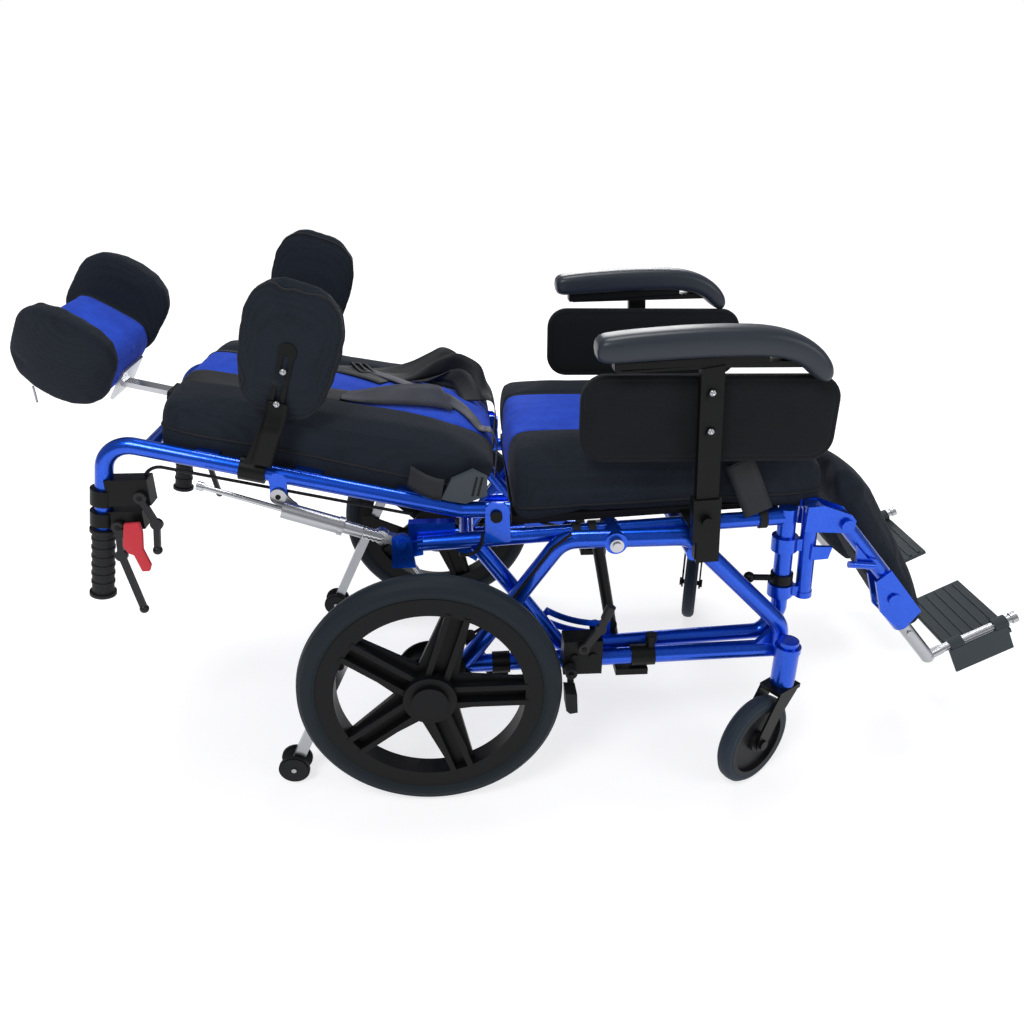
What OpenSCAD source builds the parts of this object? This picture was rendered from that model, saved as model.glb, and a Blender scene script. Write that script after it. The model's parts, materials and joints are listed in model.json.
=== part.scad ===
// Tilt in space wheelchair with a reclining back and elevating leg rests.
// Side view sizes are in millimetres from the rear axle line and the floor; the chair looks along +X.
// The near side of every pair is drawn at negative Y and mirrored for the other side.

/* [Frame tubes] */
// radius of the base side tubes
base_tube_r = 14; // [13:0.5:14.5]
// radius of the seat and back tubes
seat_tube_r = 12.5; // [11.5:0.5:12.5]
// radius of the front uprights of the seat frame
upright_r = 14; // [13:0.5:14]
// radius of the cross tubes
cross_tube_r = 11; // [9:0.5:11.5]
// radius of the tilt axle
axle_r = 6; // [5:0.5:7]
// radius of the recline hinge pins
hinge_pin_r = 5; // [4:0.5:6]

/* [Wheels] */
// outside radius of the rear tyre
rear_wheel_r = 200; // [196:1:200]
// width of the rear tyre
rear_tyre_w = 40; // [34:1:42]
// spokes in one rear wheel
spoke_count = 5; // [3:1:7]
// outside radius of the caster wheel
caster_wheel_r = 76; // [70:1:76]
// how far the caster wheel trails behind its stem
caster_trail = 58; // [50:1:62]
// swivel angle of the near caster as photographed
near_caster_angle = 33; // [0:1:60]
// swivel angle of the far caster as photographed
far_caster_angle = -72; // [-80:1:0]
// radius of the anti-tip wheels
anti_tip_wheel_r = 25; // [20:1:25]

/* [Running fits] */
// radial clearance of everything that turns or slides
run_gap = 0.05; // [0.03:0.01:0.09]
// space left between pieces that only lie against each other
lay_gap = 0.3; // [0.2:0.1:0.5]
// how much a bend stands proud of the straight tube
bend_swell = 0.12; // [0.08:0.01:0.2]
// how far a straight tube reaches into its bend
bend_grip = 1; // [0.5:0.1:1.5]

/* [Cushions] */
// half the width of the seat cushion
seat_half_w = 199; // [190:1:200]
// half the width of the back cushion
back_half_w = 197; // [188:1:198]
// height of the crown of the seat cushion
seat_crown = 14; // [6:1:20]
// height of the crown of the back cushion
back_crown = 12; // [6:1:18]
// depth of the sewn channels
channel_depth = 9; // [3:1:12]
// share of the half width where the two sewn channels run
channel_share = 0.46; // [0.3:0.02:0.6]

/* [Hidden] */
grip_step = 3;
foot_inset = 4;
wide_gap = run_gap + run_gap;
bar_gap = wide_gap + run_gap;
foot_nose = 8;
$fn = 48;
full_turn = 360;
half = 1 / 2;
origin_x = -181.19;
origin_y = 2.89;

// side planes, outboard is negative
base_y = -234;
seat_y = -204;
strut_y = -230;
arm_y = -259.5;
leg_y = -210;

// pivots in the side view
tilt_pivot = [282, 411];
recline_pivot = [105, 449];
rear_axle = [0, 200];

// Shared shapes
function unit(v) = v / norm(v);
function side_point(p, y) = [p[0], y, p[1]];
function side_route(points, y) = [for (p = points) [p[0], y, p[1]]];
function turn_at(a, b, c) = acos(max(-1, min(1, unit(b - a) * unit(c - b))));
function is_end(points, i) = i <= 0 || i >= len(points) - 1;
function bend_trim(points, i, bend) =
    is_end(points, i) ? 0 : bend * tan(turn_at(points[i - 1], points[i], points[i + 1]) * half);
function middle(a, b) = (a + b) * half;

module placed()
    translate([origin_x, origin_y, 0])
        children();

module both_sides() {
    children();
    mirror([0, 1, 0])
        children();
}

module far_side()
    mirror([0, 1, 0])
        children();

module rod(a, b, r) {
    d = b - a;
    translate(a)
        rotate([0, acos(d[2] / norm(d)), atan2(d[1], d[0])])
            cylinder(h = norm(d), r = r);
}

module elbow(a, b, c, r, bend) {
    u = unit(b - a);
    v = unit(c - b);
    m = unit(v - u * (v * u));
    n = cross(u, m);
    theta = turn_at(a, b, c);
    o = b - u * (bend * tan(theta * half)) + m * bend;
    multmatrix([
        [-m[0], u[0], n[0], o[0]],
        [-m[1], u[1], n[1], o[1]],
        [-m[2], u[2], n[2], o[2]],
        [0, 0, 0, 1]])
        rotate_extrude(angle = theta)
            translate([bend, 0])
                circle(r = r);
}

module tube(points, r, bend) {
    last = len(points) - 1;
    for (i = [0 : last - 1]) {
        u = unit(points[i + 1] - points[i]);
        back_off = bend_trim(points, i, bend) - (is_end(points, i) ? 0 : bend_grip);
        front_off = bend_trim(points, i + 1, bend) - (is_end(points, i + 1) ? 0 : bend_grip);
        rod(points[i] + u * back_off, points[i + 1] - u * front_off, r);
    }
    if (last > 1)
        for (i = [1 : last - 1])
            elbow(points[i - 1], points[i], points[i + 1], r + bend_swell, bend);
}

module cross_pin(p, ys, r)
    rod([p[0], ys[0], p[1]], [p[0], ys[1], p[1]], r);

module side_plate(points, ys)
    translate([0, ys[1], 0])
        rotate([90, 0, 0])
            linear_extrude(height = ys[1] - ys[0])
                polygon(points);

module block(xs, ys, zs)
    translate([xs[0], ys[0], zs[0]])
        cube([xs[1] - xs[0], ys[1] - ys[0], zs[1] - zs[0]]);

// flat bar between two eyes in the side view
module link(a, b, width, eye_r, ys) {
    u = unit(b - a);
    n = [-u[1], u[0]] * (width * half);
    side_plate([a - n, b - n, b + n, a + n], ys);
    cross_pin(a, ys, eye_r);
    cross_pin(b, ys, eye_r);
}

// ring around a tube that runs from a to b
module collar(a, b, outer_r, inner_r)
    difference() {
        rod(a, b, outer_r);
        rod(a - (b - a), b + (b - a), inner_r);
    }

// Padded shapes
// rows of [share of the half width, share of the height, share of the crown, 1 at the channel]
function valley(v) =
    max(0, 1 - abs(abs(v) - channel_share) * valley_narrowness);
valley_narrowness = 9;
crown_steps = 18;
crown_edge_share = 0.9;
tuck_shares = [[0.93, 0.03], [1, 0.16], [0.975, 0.42], [0.965, 0.5], [0.975, 0.58], [1, 0.84], [0.97, 0.95]];
function crown_row(i) = crown_edge_share * (1 - 2 * i / crown_steps);
function pad_ring(x, low, high, half_w, crown, groove, rest) = concat(
    [for (s = tuck_shares) [x, half_w * s[0], low + (high - low) * s[1]]],
    [for (i = [0 : crown_steps])
        let (v = crown_row(i))
        [x, half_w * v, high + crown * (1 - v * v) - groove * valley(v)]],
    [for (i = [len(tuck_shares) - 1 : -1 : 0])
        let (s = tuck_shares[i])
        [x, -half_w * s[0], low + (high - low) * s[1]]],
    [[x, -half_w * crown_edge_share, low], [x, -half_w * belly_share, rest],
     [x, half_w * belly_share, rest], [x, half_w * crown_edge_share, low]]);
belly_share = 0.84;
no_rest = 1000;

function pad_end(s) = [s[0], 0, middle(s[1], s[2])];

// stations: [distance along, underside, top, share of width, share of crown]
module pad(stations, half_w, crown, groove, rest) {
    rings = [for (s = stations) pad_ring(s[0], s[1], s[2], half_w * s[3], crown * s[4], groove * s[4],
        s[4] == 1 ? min(s[1], rest) : s[1])];
    n = len(rings[0]);
    m = len(rings);
    polyhedron(
        points = concat([for (r = rings) each r], [pad_end(stations[0]), pad_end(stations[m - 1])]),
        faces = concat(
            [for (j = [0 : n - 1]) [j, (j + 1) % n, m * n]],
            [for (i = [0 : m - 2], j = [0 : n - 1])
                [i * n + j, (i + 1) * n + j, (i + 1) * n + (j + 1) % n]],
            [for (i = [0 : m - 2], j = [0 : n - 1])
                [i * n + j, (i + 1) * n + (j + 1) % n, i * n + (j + 1) % n]],
            [for (j = [0 : n - 1]) [(m - 1) * n + (j + 1) % n, (m - 1) * n + j, m * n + 1]]),
        convexity = 6);
}

// Base
// route of the arched side tube
base_arch = [[50, 196], [203, 413], [396, 413], [558, 251], [558, 198]];
// route of the lower side tube
base_rail = [[-53, 194], [558, 207]];
base_bend = 42;
base_cross = [405, 385];
base_cross_y = [-237, 237];
pivot_boss_r = 17;
base_boss_y = [-248.6, -219.4];
caster_stem = [562, -265];
stem_r = 10;
housing_r = 19;
housing_z = [162, 232];
housing_cap_r = 16;
housing_cap_z = [231, 241];
housing_lip_r = 20.5;
housing_lip_z = [222, 231.5];
gusset = [[500, 196], [566, 200], [566, 244], [548, 250]];
gusset_y = [-240, -230];

module base_frame() color(frame_blue) placed() difference() {
    union() {
        both_sides() {
            tube(side_route(base_arch, base_y), base_tube_r, base_bend);
            tube(side_route(base_rail, base_y), base_tube_r, base_bend);
            cross_pin(tilt_pivot, base_boss_y, pivot_boss_r);
            side_plate(gusset, gusset_y);
            translate([caster_stem[0], caster_stem[1], housing_z[0]])
                cylinder(h = housing_z[1] - housing_z[0], r = housing_r);
            translate([caster_stem[0], caster_stem[1], housing_lip_z[0]])
                cylinder(h = housing_lip_z[1] - housing_lip_z[0], r = housing_lip_r);
            translate([caster_stem[0], caster_stem[1], housing_cap_z[0]])
                cylinder(h = housing_cap_z[1] - housing_cap_z[0], r = housing_cap_r);
        }
        cross_pin(base_cross, base_cross_y, cross_tube_r + bend_grip);
    }
    both_sides() {
        cross_pin(tilt_pivot, bore_y, axle_r + run_gap);
        translate([caster_stem[0], caster_stem[1], 0])
            cylinder(h = stem_top + bend_grip, r = stem_r + run_gap);
    }
}
bore_y = [-280, -150];
stem_top = 226;

axle_half = 249.4;
axle_head_r = 10.5;
axle_head_y = [-256.5, -249];
axle_cap_r = 6.5;
axle_cap_y = [-260, -256];

module tilt_axle() color(chrome) placed() {
    cross_pin(tilt_pivot, [-axle_half, axle_half], axle_r);
    both_sides() {
        cross_pin(tilt_pivot, axle_head_y, axle_head_r);
        cross_pin(tilt_pivot, axle_cap_y, axle_cap_r);
    }
}

// Rear brakes
drum_y = [-284.5, -254];
drum_r = 46;
drum_back_y = [-255.5, -251.6];
drum_back_r = 54;
rear_axle_r = 8;
rear_axle_y = [-333, -248.4];
brake_arm = [[18, 244], [62, 262]];
brake_arm_w = 12;
brake_arm_eye = 8;
brake_arm_y = [-254.2, -249];
torque_arm = [[0, 200], [52, 182]];
torque_arm_w = 20;
torque_arm_eye = 13;

module drum_brakes() color(black) placed() both_sides() {
    cross_pin(rear_axle, rear_axle_y, rear_axle_r);
    cross_pin(rear_axle, drum_back_y, drum_back_r);
    cross_pin(rear_axle, drum_y, drum_r);
    link(brake_arm[0], brake_arm[1], brake_arm_w, brake_arm_eye, brake_arm_y);
    link(torque_arm[0], torque_arm[1], torque_arm_w, torque_arm_eye, brake_arm_y);
}

// Black brackets of the base
post_route = [[304, 178], [262, 399]];
post_y = -178;
post_r = 9.5;
post_ring_y = [-187.5, -168.5];
post_ring_r = 12.5;
slot_radius = 184;
slot_pin_angle = -4.6;
slot_pin_r = 3.6;
slot_pin_y = [-193, -180];
slot_arm_y = [-187.8, -180];
slot_arm_w = 14;
slot_arm_eye = 9.5;
slot_arm_root = [294, 230];
foot_bar_x = [294, 346];
foot_bar_y = [-246, -168.5];
foot_bar_z = [172, 183];
foot_collar_x = [318, 356];
foot_collar_r = 17.2;
plunger_x = 350;
plunger_z = [216, 232];
plunger_r = 7;
plunger_knob_r = 9.5;
plunger_knob_z = [229, 240];
function rail_height(x) = base_rail[0][1]
    + (x - base_rail[0][0]) * (base_rail[1][1] - base_rail[0][1]) / (base_rail[1][0] - base_rail[0][0]);
function rail_point(x) = [x, base_y, rail_height(x)];
function about(pivot, radius, angle) = [pivot[0] + radius * sin(angle), pivot[1] - radius * cos(angle)];

tail_collar_x = [-55, -22];
tail_block_x = [-82, -53.6];
tail_block_y = [-246.4, -222];
tail_block_z = [181, 207];
tail_bar = [[-70, 194], [-142, 226]];
tail_bar_w = 24;
tail_bar_eye = 15;
tail_bar_y = [-246.6, -240];
tail_bolts = [[-84, 200], [-139, 224]];
tail_bolt_r = 7;
tail_bolt_y = [-250.5, -246];
tail_nut_y = [-270, -265.3];

strut_foot = [110, 135];
strut_collar_x = [96, 124];
strut_plate = [[97, 192], [124, 192], [120, 130], [100, 126]];
strut_plate_y = [-221.5, -217];
strut_eye_r = 12;
strut_pin_r = 5;
strut_bolts = [[105, 160], [116, 176]];
strut_bolt_y = [-225, -221];
strut_bolt_r = 6;

lock_box_x = [204, 264];
lock_box_y = [-282, -248.3];
lock_box_z = [203, 262];
lock_screws = [[221, 235], [249, 236]];
lock_screw_r = 5.5;
lock_screw_y = [-285, -281.5];
lock_clamp_x = [212, 256];
lock_pivot = [234, 254];
lock_pivot_r = 4;
lock_pivot_y = [-293, -281.5];
shoe_pivot = [214, 218];
shoe_pivot_r = 4;
shoe_pivot_y = [-309, -281.5];
lock_nose_r = 11;

module base_clamp(xs, outer)
    collar(rail_point(xs[0]), rail_point(xs[1]), outer, base_tube_r + wide_gap);

module base_brackets() color(black) placed() both_sides() difference() {
    union() {
        rod(side_point(post_route[0], post_y), side_point(post_route[1], post_y), post_r);
        cross_pin(tilt_pivot, post_ring_y, post_ring_r);
        link(slot_arm_root, about(tilt_pivot, slot_radius, slot_pin_angle), slot_arm_w, slot_arm_eye, slot_arm_y);
        cross_pin(about(tilt_pivot, slot_radius, slot_pin_angle), slot_pin_y, slot_pin_r);
        block(foot_bar_x, foot_bar_y, foot_bar_z);
        base_clamp(foot_collar_x, foot_collar_r);
        translate([plunger_x, base_y, plunger_z[0] + grip_step])
            cylinder(h = plunger_z[1] - plunger_z[0], r = plunger_r);
        translate([plunger_x, base_y, plunger_knob_z[0]])
            cylinder(h = plunger_knob_z[1] - plunger_knob_z[0], r = plunger_knob_r);
        base_clamp(tail_collar_x, foot_collar_r);
        block(tail_block_x, tail_block_y, tail_block_z);
        link(tail_bar[0], tail_bar[1], tail_bar_w, tail_bar_eye, tail_bar_y);
        cross_pin(tail_bolts[0], tail_bolt_y, tail_bolt_r);
        cross_pin(tail_bolts[1], tail_nut_y, tail_bolt_r);
        base_clamp(strut_collar_x, foot_collar_r);
        side_plate(strut_plate, strut_plate_y);
        cross_pin(strut_foot, strut_plate_y, strut_eye_r);
        for (p = strut_bolts)
            cross_pin(p, strut_bolt_y, strut_bolt_r);
        block(lock_box_x, lock_box_y, lock_box_z);
        base_clamp(lock_clamp_x, foot_collar_r);
        cross_pin(shoe_pivot, lock_box_y, lock_nose_r);
        for (p = lock_screws)
            cross_pin(p, lock_screw_y, lock_screw_r);
        cross_pin(lock_pivot, lock_pivot_y, lock_pivot_r);
        cross_pin(shoe_pivot, shoe_pivot_y, shoe_pivot_r);
    }
    cross_pin(tilt_pivot, bore_y, axle_r + run_gap);
    cross_pin(strut_foot, bore_y, strut_pin_r + run_gap);
    rod(rail_point(base_rail[0][0]), rail_point(base_rail[1][0]), base_tube_r + wide_gap);
}

// Anti-tip
anti_tip_hub = [-228, 28];
anti_tip_top = [-90, 318];
anti_tip_half = 9;
anti_tip_y = -256;
anti_tip_inner = 7.4;
anti_tip_axle_r = 4;
anti_tip_axle_y = [-275.5, -236.5];
anti_tip_wheel_y = [-274, -266];
anti_tip_fork_top = 22;
anti_tip_tread = 3;

module along(a, b)
    translate([a[0], 0, a[1]])
        rotate([0, atan2(b[0] - a[0], b[1] - a[1]), 0])
            children();

module anti_tip_tubes() color(chrome) placed() both_sides() {
    along(anti_tip_hub, anti_tip_top)
        difference() {
            block([-anti_tip_half, anti_tip_half],
                [anti_tip_y - anti_tip_half, anti_tip_y + anti_tip_half],
                [-anti_tip_half, norm(anti_tip_top - anti_tip_hub)]);
            block([-anti_tip_inner, anti_tip_inner],
                [anti_tip_y - anti_tip_inner, anti_tip_y + anti_tip_inner],
                [anti_tip_fork_top, norm(anti_tip_top - anti_tip_hub) + bend_grip]);
        }
    cross_pin(anti_tip_hub, anti_tip_axle_y, anti_tip_axle_r);
}

module anti_tip_wheels_r() color(black) placed()
    for (ys = [anti_tip_wheel_y, [2 * anti_tip_y - anti_tip_wheel_y[1], 2 * anti_tip_y - anti_tip_wheel_y[0]]])
        difference() {
            union() {
                cross_pin(anti_tip_hub, ys, anti_tip_wheel_r - anti_tip_tread);
                cross_pin(anti_tip_hub, [ys[0] + bend_grip * 2, ys[1] - bend_grip * 2], anti_tip_wheel_r);
            }
            cross_pin(anti_tip_hub, anti_tip_axle_y, anti_tip_axle_r + run_gap);
        }

module anti_tip_wheels_l() color(black) placed() far_side() translate([-origin_x, -origin_y, 0]) anti_tip_wheels_r();

// Rear wheels
rear_y = -308;
rim_r = 170;
rim_inner_r = 143;
rim_half = 16;
hub_r = 40;
hub_y = [-332, -286];
hub_step_r = 27;
hub_step_y = [-339, -331];
spoke_from = 30;
spoke_to = 147;
spoke_w = 9;
spoke_apart = 19;
spoke_y = [-325, -298];
spoke_web_y = [-312, -303];
spoke_root_w = 64;
spoke_tip_w = 40;

module rear_rim_shape() difference() {
    union() {
        difference() {
            cross_pin(rear_axle, [rear_y - rim_half, rear_y + rim_half], rim_r);
            cross_pin(rear_axle, [rear_y - rim_half - bend_grip, rear_y + rim_half + bend_grip], rim_inner_r);
        }
        cross_pin(rear_axle, hub_y, hub_r);
        cross_pin(rear_axle, hub_step_y, hub_step_r);
        for (k = [0 : spoke_count - 1])
            translate([rear_axle[0], 0, rear_axle[1]])
                rotate([0, full_turn * k / spoke_count, 0]) {
                    block([spoke_from, spoke_to], spoke_y, [spoke_apart * half, spoke_apart * half + spoke_w]);
                    block([spoke_from, spoke_to], spoke_y, [-spoke_apart * half - spoke_w, -spoke_apart * half]);
                    side_plate([[spoke_from, -spoke_root_w * half], [spoke_to, -spoke_tip_w * half],
                        [spoke_to, spoke_tip_w * half], [spoke_from, spoke_root_w * half]], spoke_web_y);
                }
    }
    cross_pin(rear_axle, [hub_y[0] - grip_step, hub_y[1] + bend_grip], rear_axle_r + run_gap);
}

tyre_profile = [[-15, 0], [-19.5, 6], [-20, 12], [-17.5, 21], [-11, 27.5], [0, 30], [11, 27.5], [17.5, 21],
    [20, 12], [19.5, 6], [15, 0]];

module rear_tyre_shape()
    translate([rear_axle[0], rear_y, rear_axle[1]])
        rotate([90, 0, 0])
            rotate_extrude()
                polygon([for (p = tyre_profile) [p[1] * tyre_scale + rim_r + run_gap, p[0] * rear_tyre_w / tyre_base_w]]);
tyre_base_w = 40;
tyre_scale = (rear_wheel_r - rim_r - run_gap) / tyre_profile[5][1];

module rear_rim_r() color(black) placed() rear_rim_shape();
module rear_rim_l() color(black) placed() far_side() rear_rim_shape();
module rear_tyre_r() color(black) placed() rear_tyre_shape();
module rear_tyre_l() color(black) placed() far_side() rear_tyre_shape();

// Casters, drawn round their own stem
fork_crown_x = [-30, 21];
fork_crown_half = 20;
fork_crown_z = [153.8, 161.4];
fork_leg = [[-28, 160], [20, 160], [12, 150], [-22, 112], [-46, 72], [-70, 72], [-66, 96], [-44, 134]];
fork_leg_y = [-20, -16.4];
fork_eye_r = 12.5;
caster_axle_r = 5;
caster_axle_y = [-24, 24];
caster_nut_r = 8.5;
caster_nut_y = [-24, -19];
stem_z = [157, 225];
caster_half = 13;
caster_hub_r = 17;
caster_hub_half = 15.8;
caster_web_r = 54;
caster_web_half = 6;
caster_lip_r = 61;

module caster_place(angle)
    translate([caster_stem[0], caster_stem[1], 0])
        rotate([0, 0, angle])
            children();

module caster_fork_shape() {
    translate([0, 0, stem_z[0]])
        cylinder(h = stem_z[1] - stem_z[0], r = stem_r);
    block(fork_crown_x, [-fork_crown_half, fork_crown_half], fork_crown_z);
    both_sides() {
        side_plate(fork_leg, fork_leg_y);
        cross_pin([-caster_trail, caster_wheel_r], fork_leg_y, fork_eye_r);
        cross_pin([-caster_trail, caster_wheel_r], caster_nut_y, caster_nut_r);
    }
    cross_pin([-caster_trail, caster_wheel_r], caster_axle_y, caster_axle_r);
}

caster_profile = [[0, 0], [-12.2, 0], [-13, 4], [-12, 9], [-7, 14], [0, 15], [7, 14], [12, 9], [13, 4], [12.2, 0]];

module caster_wheel_shape()
    translate([-caster_trail, 0, caster_wheel_r])
        difference() {
            union() {
                rotate([90, 0, 0])
                    rotate_extrude()
                        polygon([for (p = caster_profile) [p[1] + caster_lip_r, p[0]]]);
                cross_pin([0, 0], [-caster_half, caster_half], caster_lip_r + bend_grip);
            }
            for (s = [-1, 1])
                difference() {
                    cross_pin([0, 0], [min(s * caster_web_half, s * caster_half * 2), max(s * caster_web_half,
                        s * caster_half * 2)], caster_web_r);
                    cross_pin([0, 0], [-caster_hub_half * 2, caster_hub_half * 2], caster_hub_r);
                }
            cross_pin([0, 0], caster_axle_y, caster_axle_r + run_gap);
        }

module caster_fork_r() color(black) placed() caster_place(near_caster_angle) caster_fork_shape();
module caster_wheel_r() color(black) placed() caster_place(near_caster_angle) caster_wheel_shape();
module caster_fork_l() color(black) placed() far_side() caster_place(far_caster_angle) caster_fork_shape();
module caster_wheel_l() color(black) placed() far_side() caster_place(far_caster_angle) caster_wheel_shape();

// Wheel locks
lock_lever = [[234, 254], [258, 288], [267, 314]];
lock_lever_w = 11;
lock_lever_eye = 8.5;
lock_lever_bend = 6;
lock_lever_y = [-291.5, -285.6];
lock_tip = [[264, 306], [272, 328]];
lock_tip_r = 7.5;
lock_tip_y = -288.5;
shoe_arm = [[214, 218], [216, 168]];
shoe_arm_w = 10;
shoe_arm_eye = 9;
shoe_arm_y = [-290.5, -285.6];
shoe_boss_y = [-303, -285.6];
shoe_pad = [[204, 192], [222, 190], [224, 156], [212, 154], [206, 160]];
shoe_pad_y = [-316, -285.6];

module lever_shape() difference() {
    union() {
        link(lock_lever[0], lock_lever[1], lock_lever_w, lock_lever_eye, lock_lever_y);
        link(lock_lever[1], lock_lever[2], lock_lever_w, lock_lever_bend, lock_lever_y);
        rod(side_point(lock_tip[0], lock_tip_y), side_point(lock_tip[1], lock_tip_y), lock_tip_r);
    }
    cross_pin(lock_pivot, bore_wide_y, lock_pivot_r + run_gap);
}
bore_wide_y = [-330, -170];

module shoe_shape() difference() {
    union() {
        link(shoe_arm[0], shoe_arm[1], shoe_arm_w, shoe_arm_eye, shoe_arm_y);
        cross_pin(shoe_pivot, shoe_boss_y, shoe_arm_eye);
        side_plate(shoe_pad, shoe_pad_y);
    }
    cross_pin(shoe_pivot, bore_wide_y, shoe_pivot_r + run_gap);
}

module wheel_lock_lever_r() color(black) placed() lever_shape();
module wheel_lock_lever_l() color(black) placed() far_side() lever_shape();
module wheel_lock_shoe_r() color(black) placed() shoe_shape();
module wheel_lock_shoe_l() color(black) placed() far_side() shoe_shape();

// Seat frame
seat_rail = [[-14, 398.3], [556, 427.8]];
seat_loop = [[562.6, 292], [563.5, 262], [540, 221], [210, 205], [74, 396]];
seat_bend = 25;
seat_upright = [[554.6, 443], [563, 284]];
seat_cross = [[60, 402], [540, 427]];
seat_cross_y = [-206, 206];
seat_gusset = [[30, 396], [86, 398], [74, 366]];
seat_gusset_y = [-206.5, -201.5];
seat_boss_y = [-218.8, -190];
seat_boss_r = 16;
hinge_plate = [[88, 404], [127, 406], [124, 462], [116, 470], [96, 470], [89, 462]];
hinge_inner_y = [-190.6, -186.6];
hinge_outer_y = [-221.4, -217.4];
hinge_web_y = [-221.4, -212];
hinge_web_z = [405, 417];
hinge_web_x = [90, 125];
sector_band = 13.5;
sector_y = [-193, -189];
sector_angles = [-34, 3];
slot_half = 4;
slot_angles = [-30.2, -3.9];
slot_end_r = 4.2;
clevis_tilt = [-38, 388];
clevis_plate = [[-52, 375], [-6, 384], [-6, 408], [-30, 406], [-52, 399]];
clevis_outer_y = [-215, -211];
clevis_inner_y = [-197, -193];
clevis_bolt_r = 4;
clevis_head_r = 7.5;
clevis_strut = [-36, 413];
clevis_far_plate = [[-52, 374], [-16, 374], [-22, 424], [-36, 429], [-50, 424]];
clevis_far_y = [-236.5, -232.2];
clevis_spacer_x = [-46, -20];
clevis_spacer_y = [-234, -211];
clevis_spacer_z = [374, 380.3];
clevis_far_head_y = [-241.5, -236];
channel_box_x = [-28, 43];
channel_box_y = [-197, -180];
channel_box_z = [402, 428];
channel_bolt = [[-12, 416], [28, 418]];
channel_bolt_y = [-180.5, -176];

function on_line(route, x) = route[0][1] + (x - route[0][0]) * (route[1][1] - route[0][1]) / (route[1][0] - route[0][0]);

module arc_band(radius, half_band, angles, ys) difference() {
    intersection() {
        cross_pin(tilt_pivot, ys, radius + half_band);
        side_plate([tilt_pivot,
            about(tilt_pivot, radius * 2, angles[0]),
            about(tilt_pivot, radius * 2, middle(angles[0], angles[1])),
            about(tilt_pivot, radius * 2, angles[1])], ys);
    }
    cross_pin(tilt_pivot, [ys[0] - bend_grip, ys[1] + bend_grip], radius - half_band);
}

module seat_frame() color(frame_blue) placed() difference() {
    union() {
        both_sides() {
            tube(side_route(seat_rail, seat_y), seat_tube_r, seat_bend);
            tube(side_route(seat_loop, seat_y), seat_tube_r, seat_bend);
            rod(side_point(seat_upright[0], seat_y), side_point(seat_upright[1], seat_y), upright_r);
            side_plate(seat_gusset, seat_gusset_y);
            cross_pin(tilt_pivot, seat_boss_y, seat_boss_r);
            side_plate(hinge_plate, hinge_inner_y);
            side_plate(hinge_plate, hinge_outer_y);
            block(hinge_web_x, hinge_web_y, hinge_web_z);
            arc_band(slot_radius, sector_band, sector_angles, sector_y);
            side_plate(clevis_plate, clevis_outer_y);
            side_plate(clevis_plate, clevis_inner_y);
            block(clevis_spacer_x, clevis_spacer_y, clevis_spacer_z);
            side_plate(clevis_far_plate, clevis_far_y);
            cross_pin(clevis_strut, clevis_far_head_y, clevis_head_r);
            block(channel_box_x, channel_box_y, channel_box_z);
            for (p = channel_bolt)
                cross_pin(p, channel_bolt_y, clevis_head_r);
        }
        for (p = seat_cross)
            cross_pin(p, seat_cross_y, cross_tube_r);
    }
    both_sides() {
        cross_pin(tilt_pivot, bore_y, axle_r + run_gap);
        cross_pin(recline_pivot, bore_y, hinge_pin_r + run_gap);
        cross_pin(clevis_tilt, bore_narrow_y, clevis_bolt_r + run_gap);
        arc_band(slot_radius, slot_half, slot_angles, slot_cut_y);
        cross_pin(about(tilt_pivot, slot_radius, slot_angles[0]), slot_cut_y, slot_end_r);
        cross_pin(about(tilt_pivot, slot_radius, slot_angles[1]), slot_cut_y, slot_end_r);
    }
}
bore_narrow_y = [-222, -150];
slot_cut_y = [-193.6, -180];

// Seat pan and fittings
pan_outline = [[130, 418.8], [589, 441.6], [589, 449], [130, 433]];
pan_half = 189.9;
module seat_pan() color(black) placed()
    side_plate(pan_outline, [-pan_half, pan_half]);

arm_foot = [407, 481];
arm_lean = -3.37;
arm_box_x = [-20, 20];
arm_box_half = 10.4;
arm_box_z = [-60, 7];
arm_step_x = [-14, 20];
arm_step_z = [-94, -59];
arm_post_half_x = 16;
arm_post_half_y = 7;
arm_post_low = -90;
arm_post_high = 190;
arm_bridge_x = [388, 425];
arm_bridge_y = [-251, -193];
arm_bridge_z = [433.6, 439];
arm_knob_r = 8;
arm_knob = [455, 456];
arm_knob_y = [-281, -269];
latch_rod = [[548, 320], [508, 322]];
latch_rod_r = 5;
latch_ball_r = 9;
latch_collar = [[560.6, 329], [561.4, 313]];
latch_collar_r = 17.5;
seat_pin_head_r = 9;
hinge_pin_y = [-227.5, -183];
clevis_pin_y = [-219.8, -189];

module arm_frame()
    translate([arm_foot[0], arm_y, arm_foot[1]])
        rotate([0, arm_lean, 0])
            children();

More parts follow.
